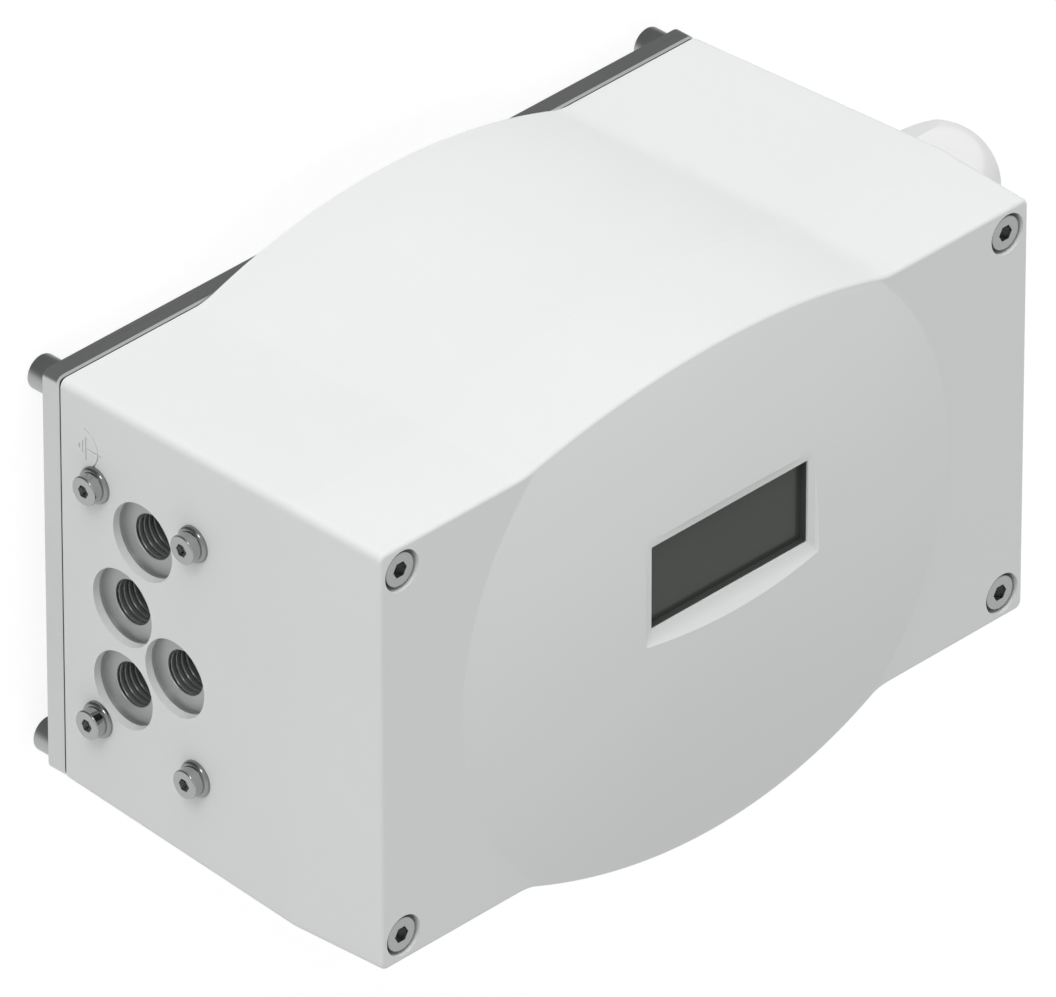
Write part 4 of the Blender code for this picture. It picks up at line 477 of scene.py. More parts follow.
def dome_rise(radius):
    """Height over the flat: sqrt(R^2 - r^2) - (R - h) inside the edge, and a hollow arc out to the foot."""
    ball = np.sqrt(DOME_ROUND**2 - np.minimum(radius, DOME_EDGE) ** 2) - (DOME_ROUND - DOME_HEIGHT)
    hollow = DOME_BLEND - np.sqrt(DOME_BLEND**2 - np.clip(DOME_FOOT - radius, 0, DOME_BLEND) ** 2)
    return np.where(radius < DOME_EDGE, ball, hollow)


def lift(flat, height):
    """Points of an outline with a height, or one height for each point."""
    return np.column_stack([flat, np.broadcast_to(height, len(flat))])


print("outline has", len(outline(FRONT_HALF)), "points, and the dome rises",
      round(float(dome_rise(0.0)) / MM, 2), "mm")


# %% Outer form of the casting
def casting_rings():
    """Rings from the rim up the two drafts, over the rounded edge, and in across the flat and the dome."""
    rim, parting = lift(outline(RIM_HALF), RIM + SEAM), lift(outline(PARTING_HALF), PARTING)
    top = outline(FRONT_HALF, EDGE_ROUND)
    reach = np.linalg.norm(top, axis=1)
    edge_height = FRONT + dome_rise(reach)
    bends = np.linspace(0, np.pi / 2, 8)
    edge = [lift(outline(FRONT_HALF, EDGE_ROUND * (1 - math.cos(b))),
                 edge_height - EDGE_ROUND * (1 - math.sin(b))) for b in bends]
    walls = [rim, rim + 0.3 * (parting - rim), rim + 0.998 * (parting - rim), parting,
             parting + 0.005 * (edge[0] - parting), parting + 0.99 * (edge[0] - parting)]
    hold = 0.998 * reach
    foot, brow = np.minimum(DOME_FOOT, 0.994 * reach), np.minimum(DOME_EDGE, 0.98 * reach)
    radii = [hold + share * (foot - hold) for share in (0, 0.4, 0.8, 0.99)]
    radii += [foot + share * (brow - foot) for share in np.linspace(0, 1, 6)]
    radii += [brow * share for share in np.append(np.linspace(0.97, 0.05, 26), 0.01)]
    front = [lift(top * (r / reach)[:, None], FRONT + dome_rise(r)) for r in radii]
    return np.array(walls + edge + front)


# %% Cutters of the casting
scratch = []


def cutter(rings):
    """A helper solid for a Boolean, removed once the casting is cut."""
    thing = bpy.data.objects.new("cutter", skin("cutter", rings))
    bpy.context.scene.collection.objects.link(thing)
    scratch.append(thing)
    return thing


def cut(target, *tools):
    """Takes each tool away from the target with a Boolean."""
    for tool in tools:
        modifier = target.modifiers.new("cut", "BOOLEAN")
        modifier.operation, modifier.solver, modifier.object = "DIFFERENCE", "MANIFOLD", tool
    return target


def round_box(half, radius, height, centre=(0.0, 0.0), steps=6):
    """A ring round a rectangle with round corners: each corner's centre plus radius * (cos, sin)."""
    sign = np.array(((1, 1), (-1, 1), (-1, -1), (1, -1)))
    angle = np.linspace(0, np.pi / 2, steps)[None] + np.arange(4)[:, None] * np.pi / 2
    middle = sign * (np.array(half) - radius) + np.array(centre)
    flat = middle[:, None] + radius * np.stack([np.cos(angle), np.sin(angle)], axis=-1)
    return lift(flat.reshape(-1, 2), height)


def barrel(radius, low, high, centre=(0, 0, 0), towards="up", steps=64):
    """A plain round tool from low to high along its own axis."""
    return cutter(set_down(turned(((radius, low), (radius, high)), steps), centre, towards))


# %% The casting's hollow
OVER = 1.0 * MM  # how far a tool reaches past what it cuts
GAP = 0.3 * MM  # left between faces that don't touch
WALL, CEILING = 4.5 * MM, 95.3 * MM
CORE_SLOPE, CORE_ROUND = math.tan(math.radians(1.2)), 3 * MM
CORE_HALF = RIM_HALF - WALL
BOARD_SEAT = 79.6 * MM  # where the posts end
POST = (CORE_HALF[0] - 26.5 * MM, CORE_HALF[1] - 11.5 * MM)
COLUMN_ROUND, POST_ROUND = 5.6 * MM, 3.5 * MM
GLAND = (0.0, 28.6 * MM, 62.2 * MM)
PAD_HALF, PAD_ROUND, PAD_DEPTH = (13 * MM, 13 * MM), 1 * MM, 6.5 * MM


def four(x, y):
    """The same place in each of the four corners."""
    return [(sx * x, sy * y, 0.0) for sx, sy in ((1, 1), (-1, 1), (-1, -1), (1, -1))]


CORNERS, POSTS = four(*CORNER_SCREW), four(*POST)


def wall_x(height):
    """Half the casting's length at a height under the parting line."""
    return RIM_HALF[0] + (height - RIM) * REAR_SLOPE


def core_cutter():
    """A drafted block with notches left for the screw columns, the board's posts and the gland's pad."""
    low, high = RIM - OVER, CEILING
    core = cutter(np.array([round_box(CORE_HALF + OVER * CORE_SLOPE, CORE_ROUND, low),
                            round_box(CORE_HALF - (high - RIM) * CORE_SLOPE, CORE_ROUND, high)]))
    middle = (wall_x(GLAND[2]) + CORE_HALF[0] - PAD_DEPTH) / 2
    pad = np.array([round_box(PAD_HALF, PAD_ROUND, middle + reach) for reach in (-8 * MM, 12 * MM)])
    cut(core, *[barrel(COLUMN_ROUND, low - OVER, high + OVER, place) for place in CORNERS])
    cut(core, *[barrel(POST_ROUND, BOARD_SEAT + GAP, high + OVER, place, steps=32) for place in POSTS])
    return cut(core, cutter(set_down(pad, GLAND, "right")))


# %% [markdown]
# The openings are cut with turned and lofted tools: a screw bore with its counterbore at each corner, the
# sloping recess and aperture of the display, the port mouths, the screw holes and the flat seat of the cable
# gland. The recess has four walls that slope at different rates, and a ledge that rises outwards a little.

# %% Openings of the casting
PORTS = [(0.0, y * MM, z * MM) for y, z in ((20.7, 33.3), (2.2, 27.1), (-17.4, 27.1), (-7.1, 42.3))]
SIDE_SCREWS = [(0.0, sy * SIDE_SCREW_Y, z) for sy in (1, -1) for z in (SIDE_SCREW_LOW, SIDE_SCREW_HIGH)]
SCREW_BORE, COUNTERBORE = 2.3 * MM, 4.6 * MM
HEAD_SEAT = FRONT - 4.5 * MM
MOUTH, MOUTH_DEPTH, BOSS_DEPTH = 8.6 * MM, 2.0 * MM, 2.9 * MM
SEAT_X = CORE_HALF[0] + 0.2 * MM
BLOCK_HALF, BLOCK_ROUND, BLOCK_MIDDLE = (34.3 * MM, 22.6 * MM), 0.5 * MM, (0, 0, 32.2 * MM)
GLAND_BORE, GLAND_SPOT = 10.1 * MM, 14.2 * MM
GLAND_SEAT = wall_x(GLAND[2]) - GLAND_SPOT * REAR_SLOPE
DISPLAY = np.array((22.05, 9.75)) * MM
DISPLAY_Y = 11.8 * MM
RECESS_FLOOR = FRONT + 6.1 * MM
LEDGE, LEDGE_RISE = 1.7 * MM, 0.28 * MM  # the ledge round the aperture rises a little outwards
RECESS_RISE = 2.9 * MM  # of the sloping walls, from the ledge to where they leave the dome
SIDE_RUN, UPPER_RUN, LOWER_RUN = (run * RECESS_RISE for run in (1.1, 1.5, 1.9))
APERTURE_ROUND, RECESS_ROUND = 0.25 * MM, 0.4 * MM
LIP, POCKET = RECESS_FLOOR - 1.4 * MM, DISPLAY + 3.15 * MM


def display_tools():
    """The recess with its four sloping walls, then the aperture and the pane's pocket."""
    floor, centre = DISPLAY + LEDGE, (0, DISPLAY_Y)
    brim = floor + (SIDE_RUN, (UPPER_RUN + LOWER_RUN) / 2)
    brim_centre = (0, DISPLAY_Y + (UPPER_RUN - LOWER_RUN) / 2)
    recess = (round_box(DISPLAY, APERTURE_ROUND, RECESS_FLOOR, centre),
              round_box(floor, RECESS_ROUND, RECESS_FLOOR + LEDGE_RISE, centre),
              round_box(brim, RECESS_ROUND, RECESS_FLOOR + LEDGE_RISE + RECESS_RISE, brim_centre))
    aperture = [round_box(DISPLAY, APERTURE_ROUND, height, centre)
                for height in (LIP - OVER, RECESS_FLOOR + OVER / 2)]
    pocket = [round_box(POCKET, RECESS_ROUND, height, centre) for height in (CEILING - OVER, LIP)]
    return [cutter(np.array(rings)) for rings in (recess, aperture, pocket)]


def corner_tools():
    """Each corner's bore, with its counterbore down to just under the screw's head."""
    floor = HEAD_SEAT - GAP
    profile = ((SCREW_BORE, RIM - OVER), (SCREW_BORE, floor), (COUNTERBORE, floor),
               (COUNTERBORE, FRONT + OVER))
    return [cutter(set_down(turned(profile), place)) for place in CORNERS]


def port_tools():
    """The port mouths, the holes of the side screws, and the block's flat seat inside the wall."""
    tools = [barrel(radius, SEAT_X - OVER, wall_x(z) + OVER, (x, y, z), "left", steps)
             for places, radius, steps in ((PORTS, MOUTH, 128), (SIDE_SCREWS, SCREW_BORE, 64))
             for x, y, z in places]
    seat = np.array([round_box(BLOCK_HALF, BLOCK_ROUND, height) for height in (SEAT_X - 3 * MM, SEAT_X)])
    return tools + [cutter(seat[..., [2, 0, 1]] * (-1, 1, 1) + BLOCK_MIDDLE)]


def gland_tool():
    """The gland's bore through the wall, and its flat spot face."""
    inner, outer = CORE_HALF[0] - 11 * MM, GLAND_SEAT + 4 * MM
    profile = ((GLAND_BORE, inner), (GLAND_BORE, GLAND_SEAT), (GLAND_SPOT, GLAND_SEAT), (GLAND_SPOT, outer))
    return cutter(set_down(turned(profile), GLAND, "right"))


# %% [markdown]
# A small earth sign is engraved on the left wall beside a screw: three bars that shrink, a stem and an arc.
# Each line is a narrow tool carried along its path, which follows the wall's slope so that the groove has
# the same depth all along.

# %% The engraved earth sign
def stroke(path, width=0.32 * MM, depth=0.4 * MM):
    """A groove tool along points (y, z): a steep trough, across the path and down into the sloping wall."""
    path = np.array(path, float) * MM
    along = np.gradient(path, axis=0)
    along /= np.linalg.norm(along, axis=1)[:, None]
    across = along[:, ::-1] * (-1, 1)
    section = np.array(((-0.55, -0.2 * MM), (-0.4, depth), (0.4, depth), (0.55, -0.2 * MM)))
    section = section * (width, 1)
    sides = path[:, None] + section[None, :, :1] * across[:, None]
    inward = -wall_x(sides[..., 1]) + section[None, :, 1]
    return cutter(np.concatenate([inward[..., None], sides], axis=-1))


bend = np.radians(np.linspace(-80, 80, 25))
SIGN = [((32.05, 17.0), (34.8, 17.0), (37.6, 17.0)), ((33.6, 16.05), (35.0, 16.05), (36.45, 16.05)),
        ((34.3, 15.1), (34.9, 15.1), (35.45, 15.1)), ((35.0, 17.1), (35.0, 19.0), (35.0, 21.7)),
        np.column_stack([34.95 + 4.65 * np.sin(bend), 15.8 + 4.65 * np.cos(bend)])]


# %% Cut the casting and keep its mesh
def bake(name, thing, corner):
    """The mesh of an object after its modifiers, shaded smooth up to the corner angle; the helpers go."""
    graph = bpy.context.evaluated_depsgraph_get()
    mesh = bpy.data.meshes.new_from_object(thing.evaluated_get(graph))
    mesh.name = name
    bpy.data.objects.remove(thing)
    while scratch:
        bpy.data.objects.remove(scratch.pop())
    mesh.shade_smooth()
    mesh.set_sharp_from_angle(angle=math.radians(corner))
    return mesh


RELIEF_REACH, RELIEF_ROUND = 38.5 * MM, 294.8 * MM  # the hollow under the dome, and its sphere
POST_BORE, POST_BORE_END = 1.8 * MM, 86 * MM


def make_casting():
    """The outer form, less its hollow, the relief under the dome and every opening."""
    shell = bpy.data.objects.new("shell", skin("shell", casting_rings()))
    bpy.context.scene.collection.objects.link(shell)
    cut(shell, core_cutter())
    radii = np.linspace(RELIEF_REACH, 0, 8)
    vault = FRONT + DOME_HEIGHT - DOME_ROUND + np.sqrt(RELIEF_ROUND**2 - radii**2)
    relief = [(RELIEF_REACH, CEILING - OVER), *zip(radii, vault)]
    cut(shell, cutter(turned(relief)), *corner_tools())
    cut(shell, *[barrel(POST_BORE, BOARD_SEAT - GAP, POST_BORE_END, place, steps=24) for place in POSTS])
    cut(shell, *display_tools(), *port_tools(), gland_tool(), *[stroke(path) for path in SIGN])
    return bake("casting", shell, 25.0)


casting = piece("casting", make_casting(), PAINT, ("hood",))
print("casting:", len(casting.data.polygons), "faces")

# %% [markdown]
# ## The display
#
# Behind the aperture lies a dark pane, nearly two millimetres down. A thin black lining stands on the
# pane and follows the aperture's walls, which gives the picture's dark edge on two sides of the glass.

# %% Pane and lining
PANE_LOW, PANE_TOP = 101.62 * MM, RECESS_FLOOR - 1.75 * MM
LINING_TOP, LINING_WALL = RECESS_FLOOR - 0.45 * MM, 0.25 * MM
PANE = DISPLAY + 2.83 * MM
EASE = 0.15 * MM  # bevel of the pane's rims
CLEAR = 0.02 * MM  # keeps two faces from lying in one plane


def display_rings(*rows):
    """One ring round the display for each (half size, height)."""
    return np.array([round_box(half, APERTURE_ROUND, height, (0, DISPLAY_Y)) for half, height in rows])


pane = display_rings((PANE - EASE, PANE_LOW), (PANE, PANE_LOW + EASE), (PANE, PANE_TOP - EASE),
                     (PANE - EASE, PANE_TOP))
piece("display_pane", skin("pane", pane), GLASS, ("display_window",))
inside, outside = DISPLAY - LINING_WALL, DISPLAY - CLEAR
lining = display_rings((inside, PANE_TOP), (PANE, PANE_TOP), (PANE, LIP - CLEAR), (outside, LIP - CLEAR),
                       (outside, LINING_TOP), (inside, LINING_TOP))
piece("display_lining", skin("lining", lining, closed=True), LINING, ("display_seal",))
print("the pane lies", round((RECESS_FLOOR - PANE_TOP) / MM, 2), "mm under the recess floor")

# %% [markdown]
# ## Screws, washers and feet
#
# A socket screw is a turned head whose rings change to a hexagon at the mouth of its socket. The hexagon's
# radius at an angle is half its width across the flats over the cosine of the angle to the nearest flat.
# Small chamfers at the head's rim and at the socket's mouth catch the light.

# %% Socket screws
def hexagon(flats, steps, turn=0.0):
    """Radius of a hexagon at each angle, with a corner at the angle turn."""
    return flats / 2 / np.cos((around(steps) - turn + 1e-9) % (np.pi / 3) - np.pi / 6)


def socket_screw(shank, length, head, height, flats, socket, rim, steps=96):
    """Rings up the shank and head, over a rim r * (sin, cos), in over the face, and into the socket."""
    hex_ring, round_ring = hexagon(flats, steps), np.ones(steps)
    lip, drill_tip = 0.06 * MM, 0.5 * MM
    rows = [(shank * round_ring, -length), (shank * round_ring, 0), (head * round_ring, 0),
            (head * round_ring, height - 1.1 * rim)]
    rows += [((head - rim + rim * math.cos(b)) * round_ring, height - rim + rim * math.sin(b))
             for b in np.linspace(0, np.pi / 2, 6)]
    rows += [((head - 1.1 * rim) * round_ring, height), (hex_ring + 1.5 * lip, height),
             (hex_ring + lip, height), (hex_ring, height - lip), (hex_ring, height - socket),
             (0.0 * round_ring, height - socket - drill_tip)]
    radius = np.array([row[0] for row in rows])
    level = np.array([row[1] for row in rows])[:, None]
    return polar(radius, around(steps), level)


FOOT_TIP, SHANK = -0.5 * MM, 2 * MM
for number, place in enumerate(CORNERS, 1):
    rings = socket_screw(SHANK, length=HEAD_SEAT - FOOT_TIP - 3 * MM, head=3.8 * MM, height=4 * MM,
                         flats=3.2 * MM, socket=3 * MM, rim=0.3 * MM)
    mesh = skin("corner_screw", set_down(rings, (*place[:2], HEAD_SEAT)))
    piece(f"corner_screw_{number}", mesh, SCREW_STEEL, (f"hood_screw_{number}",))

# %% Side screws and washers
WASHER, WASHER_THICK, WASHER_ROUND = 4.0 * MM, 1.15 * MM, 0.8 * MM
SIDE_SCREW_END = 72.6 * MM  # how far from the middle the screw's tip stops
for number, (x, y, z) in enumerate(SIDE_SCREWS, 1):
    seat = wall_x(z) - WASHER * REAR_SLOPE  # the washer's lowest point just touches the sloping wall
    head_seat = wall_x(z) + WASHER_THICK
    thick = head_seat - seat
    profile = [(SCREW_BORE, 0), (WASHER, 0)]
    profile += [(WASHER - WASHER_ROUND * (1 - math.cos(b)), thick - WASHER_ROUND * (1 - math.sin(b)))
                for b in np.linspace(0, np.pi / 2, 8)]
    profile.append((SCREW_BORE, thick))
    mesh = skin("washer", set_down(turned(profile), (-seat, y, z), "left"), closed=True, corner=40)
    piece(f"washer_{number}", mesh, WASHER_STEEL, (f"side_washer_{number}",))
    rings = socket_screw(SHANK, length=head_seat - SIDE_SCREW_END, head=3.2 * MM, height=2.4 * MM,
                         flats=2.5 * MM, socket=1.6 * MM, rim=0.35 * MM)
    mesh = skin("block_screw", set_down(rings, (-head_seat, y, z), "left"))
    piece(f"block_screw_{number}", mesh, BRIGHT_STEEL, (f"side_screw_{number}",))

# %% Feet
FOOT, SPIGOT, TIP_ROUND, BEVEL = 3.85 * MM, 3.0 * MM, 0.4 * MM, 0.1 * MM
shoulder, spigot_top, bore_floor = FOOT_TIP + 4.8 * MM, 9.0 * MM, FOOT_TIP + 2 * MM
profile = ((0, FOOT_TIP), (FOOT - TIP_ROUND, FOOT_TIP), (FOOT - BEVEL, FOOT_TIP + 0.12 * MM),
           (FOOT, FOOT_TIP + TIP_ROUND), (FOOT, shoulder - BEVEL), (FOOT - BEVEL, shoulder),
           (SPIGOT, shoulder), (SPIGOT, spigot_top), (SCREW_BORE, spigot_top), (SCREW_BORE, bore_floor),
           (0, bore_floor))
for number, place in enumerate(CORNERS, 1):
    mesh = skin("foot_piece", set_down(turned(profile), place))
    piece(f"turned_foot_{number}", mesh, FOOT_STEEL, (f"foot_{number}",))
print("feet stand at", [tuple(round(v / MM, 2) for v in place[:2]) for place in CORNERS])

# %% [markdown]
# ## The air ports
#
# Each port is a boss of the block behind the wall. A thin turned ring closes the gap round it and lines the
# hole, and a thread runs down the bore. The thread is a small ridge carried along a helix: the angle grows
# along the path, and the height falls by one pitch each turn. It shrinks towards both ends.

# %% Port rings and threads
PITCH, TURNS, PER_TURN = 1.4 * MM, 7.3, 72
THREAD_ROUND, RIDGE_DEPTH, CREST = 4.96, 0.3, 0.35  # two sizes in millimetres, and the crest's fullness
across = np.linspace(-1, 1, 11)
RIDGE = np.column_stack([THREAD_ROUND - RIDGE_DEPTH * np.cos(across * np.pi / 2) ** CREST,
                         across * PITCH / 2 / MM]) * MM
RING_BORE, RING_CHAMFER, RING_ROUND = 4.92 * MM, 5.05 * MM, 8.45 * MM
RING_BACK, CHAMFER_DEPTH, THREAD_START = 0.6 * MM, 0.15 * MM, 0.75 * MM  # depths under the ring's face


def thread(top):
    """A ridge on a helix: at angle a it stands at height top - pitch * a / 2 pi, and fades at the ends."""
    angle = np.linspace(0, TURNS * FULL_TURN, int(TURNS * PER_TURN) + 1)[:, None]
    fade = np.clip(np.minimum(angle, angle[-1] - angle) / (0.5 * np.pi), 0, 1)
    root = RIDGE[0, 0]
    radius = root - (root - RIDGE[:, 0]) * (0.15 + 0.85 * fade)
    return polar(radius, -angle, top - PITCH * angle / FULL_TURN + RIDGE[:, 1])


for number, (x, y, z) in enumerate(PORTS, 1):
    wall = wall_x(z)
    face, mouth = wall - BOSS_DEPTH + CLEAR, wall - MOUTH_DEPTH - 0.03 * MM
    profile = ((RING_BORE, face - RING_BACK), (RING_BORE, face - CHAMFER_DEPTH), (RING_CHAMFER, face),
               (RING_ROUND, face), (RING_ROUND, mouth), (MOUTH - CLEAR, mouth),
               (MOUTH - CLEAR, face - RING_BACK))
    mesh = skin("port_ring", set_down(turned(profile, 128), (x, y, z), "left"), closed=True)
    piece(f"port_ring_{number}", mesh, RING_FACE)
    mesh = skin("port_thread", set_down(thread(face - THREAD_START), (x, y, z), "left"), corner=50)
    piece(f"port_thread_{number}", mesh, THREAD_STEEL)
print("each port thread has", len(mesh.polygons), "faces")

# %% [markdown]
# ## The cable gland
#
# The gland is moulded: a hexagonal collar against the wall, and a nut whose hexagon runs out into a dome. At
# each angle and height the nut's radius is the smaller of the hexagon's and the dome's, blended by a power
# mean of a high power, which leaves the slightly rounded edges of a moulding.

# %% Gland nut and collar
GLAND_FLATS = 24.4 * MM


def soft_least(first, second, power=150):
    """A smooth minimum: a * (1 + (a/b)^p)^(-1/p)."""
    return first * (1 + (first / second) ** power) ** (-1 / power)


def hexagon_form(rows, steps=144):
    """Rings of (limit radius, height, hexagon share): the limit blended with the hexagon, or left round."""
    limit, height, share = np.array(rows, float).T[:, :, None]
    flats = hexagon(GLAND_FLATS, steps, np.pi / 6)[None]
    radius = np.where(share > 0, soft_least(np.broadcast_to(limit, (len(rows), steps)), flats), limit)
    return polar(radius, around(steps), height)


CORNER, CHAMFERED, ROUNDING = 14.1 * MM, 13.6 * MM, 0.4 * MM  # radii of the collar's corners and ends
BODY, NECK, NECK_BORE, CABLE_BORE = 9.8 * MM, 9.1 * MM, 7.5 * MM, 5.8 * MM
NUT_BORE, NUT_MOUTH, NOSE, DOME_LENGTH = 9.4 * MM, 5.9 * MM, 2.83 * MM, 15.05 * MM
flange = GLAND_SEAT + 1.8 * MM
collar_end = flange + 5.5 * MM
neck_end = collar_end + 8 * MM
nut_low = collar_end + GAP
nut_end, dome_low = nut_low + 15.5 * MM, nut_low + 2.82 * MM
bends = np.linspace(0, math.asin((nut_end - ROUNDING - dome_low) / DOME_LENGTH), 30)
outer = [(CHAMFERED, nut_low, 1), (CORNER, nut_low + ROUNDING, 1)]
outer += [(NOSE + (CORNER - NOSE) * math.cos(b), dome_low + DOME_LENGTH * math.sin(b), 1) for b in bends]
rim = outer[-1][0]
inner = [(rim - 0.25 * MM, nut_end - 0.12 * MM, 0), (rim - 0.7 * MM, nut_end, 0), (NUT_MOUTH, nut_end, 0),
         (CABLE_BORE, neck_end + 3 * MM, 0), (NUT_BORE, neck_end + 1.3 * MM, 0), (NUT_BORE, nut_low, 0)]
nut = skin("gland_nut", set_down(hexagon_form(outer + inner), GLAND, "right"), closed=True, corner=25)
piece("gland_dome_nut", nut, GLAND_PLASTIC, ("gland_nut",))

inner_end, step = CORE_HALF[0] - (GLAND[2] - RIM) * CORE_SLOPE - 7.5 * MM, collar_end + OVER
rows = [(CABLE_BORE, inner_end, 0), (BODY, inner_end, 0), (BODY, flange, 0), (CHAMFERED, flange, 1),
        (CORNER, flange + ROUNDING, 1), (CORNER, collar_end - ROUNDING, 1), (CHAMFERED, collar_end, 1),
        (NECK, collar_end, 0), (NECK, neck_end, 0), (NECK_BORE, neck_end, 0), (NECK_BORE, step, 0),
        (CABLE_BORE, step, 0)]
collar = skin("gland_collar", set_down(hexagon_form(rows), GLAND, "right"), closed=True, corner=35)
piece("gland_collar", collar, GLAND_PLASTIC, ("gland_body",))
print("gland ends at", round(nut_end / MM, 1), "mm")

# %% [markdown]
# ## The dark seam
#
# Between the plate and the casting the gap shows as a thin dark line of shade. The line is painted shade: a
# black ring of its own, a little further out than the gasket, behind the plate's chamfer, which keeps its
# light edge.

# %% Painted shade in the seam
SEAM_HALF, SEAM_INNER = np.array((89.05, 47.1)) * MM, np.array((87.6, 45.6)) * MM
SEAM_LOW, SEAM_TOP, SEAM_ROUND = 8.95 * MM, RIM + SEAM, 1.4 * MM
seam = [round_box(half, SEAM_ROUND, height) for half, height in
        ((SEAM_HALF, SEAM_LOW), (SEAM_HALF, SEAM_TOP), (SEAM_INNER, SEAM_TOP), (SEAM_INNER, SEAM_LOW))]
# The black ring is painted shade: it darkens the gap between plate and casting, where shade falls.
piece("painted_shade_seam", skin("painted_shade_seam", np.array(seam), closed=True), RUBBER)
print("the seam line stands", round((RIM_HALF[0] - SEAM_HALF[0]) / MM, 2), "mm behind the casting's rim")

# %% [markdown]
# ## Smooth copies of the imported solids
#
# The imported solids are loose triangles, so a turned boss or a round corner shows its facets. For each solid
# that still stands as packed, a copy is merged, the triangles of each flat face are joined, and it is shaded
# smooth up to a corner angle. A long flat face beside a small rounding would bend its shading too, so a
# weighted-normal modifier lets the largest faces decide.

# %% Merge, smooth and weigh
RIDES = {"feedback_shaft": "shaft", "drive_gear": "shaft", "retaining_ring": "shaft",
         "pot_shaft": "pot_rotor", "pot_pinion": "pot_rotor",
         "key_cap_1": "key_1", "key_cap_2": "key_2", "key_cap_3": "key_3"}
STANDS = {name for names in STOOD_FOR.values() for name in names}


def join_flat(mesh):
    """Merges doubled points and joins the triangles of each flat face into one face."""
    form = bmesh.new()
    form.from_mesh(mesh)
    bmesh.ops.remove_doubles(form, verts=form.verts, dist=1e-7)
    bmesh.ops.dissolve_limit(form, angle_limit=math.radians(0.3), verts=form.verts, edges=form.edges)
    form.to_mesh(mesh)
    form.free()


def smooth_copy(name):
    """The solid's own mesh, its flat faces joined, smooth up to 35 degrees, with normals weighed by area."""
    mesh = frame["nodes"][name].data.copy()
    finish = mesh.materials[0]
    mesh.name = name + "_smooth"
    join_flat(mesh)
    finish_mesh(mesh, 35.0)
    thing = piece(name + "_smooth", mesh, finish, (name,), RIDES.get(name, "housing"))
    weigh = thing.modifiers.new("weigh", "WEIGHTED_NORMAL")
    weigh.keep_sharp, weigh.weight = True, 100
    return thing


copies = [smooth_copy(name) for name in sorted(frame["nodes"]) if name not in STANDS]
print(len(copies), "smooth copies, of", ", ".join(thing.name for thing in copies[:5]), "and so on")

# %% [markdown]
# ## Light and ground
#
# The light is a plain soft studio. Most of it comes from a low, wide band all round, brightest along the two
# long sides, which lights the walls and the front in the picture's proportion, and one small lamp adds the
# sparks on the metal. The floor and the surround look white to the camera, so the picture's background is
# white, while the floor still takes the object's shadow. Bare metal is drawn by what it mirrors: it sees a
# white surround below the object's long axis and a darker one above and behind it, as among the white and
# grey cards of a studio.

# %% Floor
FLOOR_DULL, FLOOR_FAINT, FLOOR_GLOW = 0.8, 0.3, 0.83  # colour under plain light, then under the camera's


def larger(tree, first, second):
    """The larger of two sockets."""
    return node(tree, "Math", {0: first, 1: second}, operation="MAXIMUM").outputs[0]


def seen(path):
    """One for rays of the camera, also through glass, which should meet plain white."""
    return larger(path.id_data, path.outputs["Is Camera Ray"], path.outputs["Is Transmission Ray"])


def floor_material():
    """A pale dull floor, which adds light up to white for the camera; clear to mirrors and from below."""
    made = bpy.data.materials.new("pale_floor")
    made.use_nodes = True
    tree = made.node_tree
    tree.nodes.clear()
    path = node(tree, "LightPath")
    dull, faint = (node(tree, "BsdfDiffuse", {"Color": (level, level, level, 1)})
                   for level in (FLOOR_DULL, FLOOR_FAINT))
    glow = node(tree, "Emission", {"Color": (1, 1, 1, 1), "Strength": FLOOR_GLOW})
    lit = node(tree, "AddShader", {0: faint.outputs[0], 1: glow.outputs[0]})
    top = node(tree, "MixShader", {0: seen(path), 1: dull.outputs[0], 2: lit.outputs[0]})
    under = node(tree, "NewGeometry")
    open_to = larger(tree, under.outputs["Backfacing"], path.outputs["Is Glossy Ray"])
    clear = node(tree, "BsdfTransparent")
    both = node(tree, "MixShader", {0: open_to, 1: top.outputs[0], 2: clear.outputs[0]})
    node(tree, "OutputMaterial", {"Surface": both.outputs[0]})
    return made


FLOOR_HALF = 12.0
floor_mesh = bpy.data.meshes.new("floor")
floor_mesh.from_pydata([(x * FLOOR_HALF, y * FLOOR_HALF, FOOT_TIP - 0.02 * MM)
                        for x, y in ((-1, -1), (1, -1), (1, 1), (-1, 1))], [], [(0, 1, 2, 3)])
floor_mesh.materials.append(floor_material())
floor = bpy.data.objects.new("floor", floor_mesh)
bpy.context.scene.collection.objects.link(floor)

# %% Surround
SKY = (0.42, -0.43)  # levels of the sky: plain, and along Y
BAND = (0.4, 2.19, 2.3)  # levels of the low band: plain, along Y, and along Y squared
WHITE_CARD, CARD_EDGE = 0.92, (-0.35, 0.25)  # what metal mirrors below the long axis, and where it ends
GREY_CARD = (-0.3, 0.45, 0.18, 0.7)  # above it: from and to which height, and the level at each


def sums(tree, *terms):
    """A sum of sockets and numbers, two at a time."""
    total = terms[0]
    for term in terms[1:]:
        total = node(tree, "Math", {0: total, 1: term}, operation="ADD").outputs[0]
    return total


def times(tree, first, second):
    """The product of two sockets or numbers."""
    return node(tree, "Math", {0: first, 1: second}, operation="MULTIPLY").outputs[0]


def ramp(tree, value, low, high, start, end):
    """A smooth step of a value from low..high to start..end."""
    return node(tree, "MapRange", {"Value": value, "From Min": low, "From Max": high, "To Min": start,
                                   "To Max": end}, interpolation_type="SMOOTHSTEP").outputs[0]


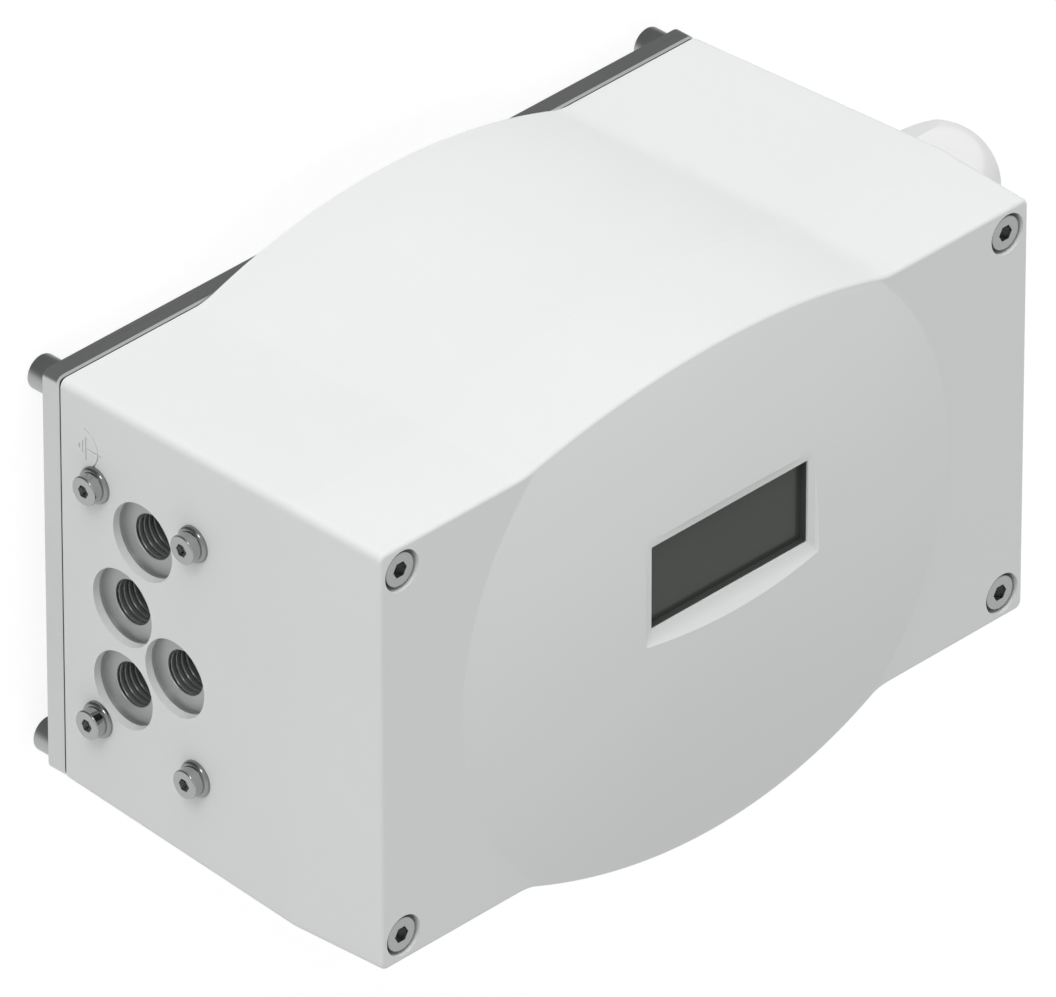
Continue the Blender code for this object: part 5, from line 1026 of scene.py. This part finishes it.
def surround():
    """White for the camera, cards for mirrors, and a level by direction for dull surfaces.

    The level is s + t y + (1 - z)^2 * (a + b y + c y^2), with s, t from SKY and a, b, c from BAND.
    """
    world = bpy.data.worlds.new("surround")
    world.use_nodes = True
    tree = world.node_tree
    tree.nodes.clear()
    path = node(tree, "LightPath")
    way = node(tree, "SeparateXYZ", {0: node(tree, "TexCoord").outputs["Generated"]}).outputs
    y, z = way["Y"], way["Z"]
    low = node(tree, "Math", {0: 1.0, 1: z}, operation="SUBTRACT", use_clamp=True).outputs[0]
    band = sums(tree, BAND[0], times(tree, y, BAND[1]), times(tree, times(tree, y, y), BAND[2]))
    level = sums(tree, SKY[0], times(tree, y, SKY[1]), times(tree, times(tree, low, low), band))
    high = ramp(tree, y, *CARD_EDGE, 0.0, 1.0)
    card = ramp(tree, z, *GREY_CARD)
    rest = node(tree, "Math", {0: 1.0, 1: high}, operation="SUBTRACT").outputs[0]
    mirror_level = sums(tree, times(tree, rest, WHITE_CARD), times(tree, high, card))
    plain, mirrored, white = (node(tree, "Background", {"Color": (1, 1, 1, 1), "Strength": strength})
                              for strength in (level, mirror_level, 1.0))
    shine = node(tree, "MixShader", {0: path.outputs["Is Glossy Ray"], 1: plain.outputs[0],
                                     2: mirrored.outputs[0]})
    both = node(tree, "MixShader", {0: seen(path), 1: shine.outputs[0], 2: white.outputs[0]})
    node(tree, "OutputWorld", {"Surface": both.outputs[0]})
    bpy.context.scene.world = world


# %% Lamp
def lamp(name, way, distance, size, level):
    """A square lamp that looks at the object; level is what a white surface facing it shows."""
    data = bpy.data.lights.new(name, "AREA")
    data.shape, data.size = "SQUARE", size
    data.energy = level * math.pi**2 * distance**2
    thing = bpy.data.objects.new(name, data)
    way = np.array(way, float) / np.linalg.norm(way)
    across = np.cross((0, 0, 1), way)
    across /= np.linalg.norm(across)
    matrix = np.eye(4)
    matrix[:3, :3] = np.column_stack([across, np.cross(way, across), way])
    matrix[:3, 3] = way * distance + (0, 0, FRONT / 2)
    thing.matrix_world = matrix.T.tolist()
    thing.visible_camera = False
    bpy.context.scene.collection.objects.link(thing)


surround()
lamp("key_lamp", way=(-0.6, 0.75, 0.3), distance=2.0, size=0.5, level=0.12)
bpy.context.scene.view_settings.view_transform = "Standard"
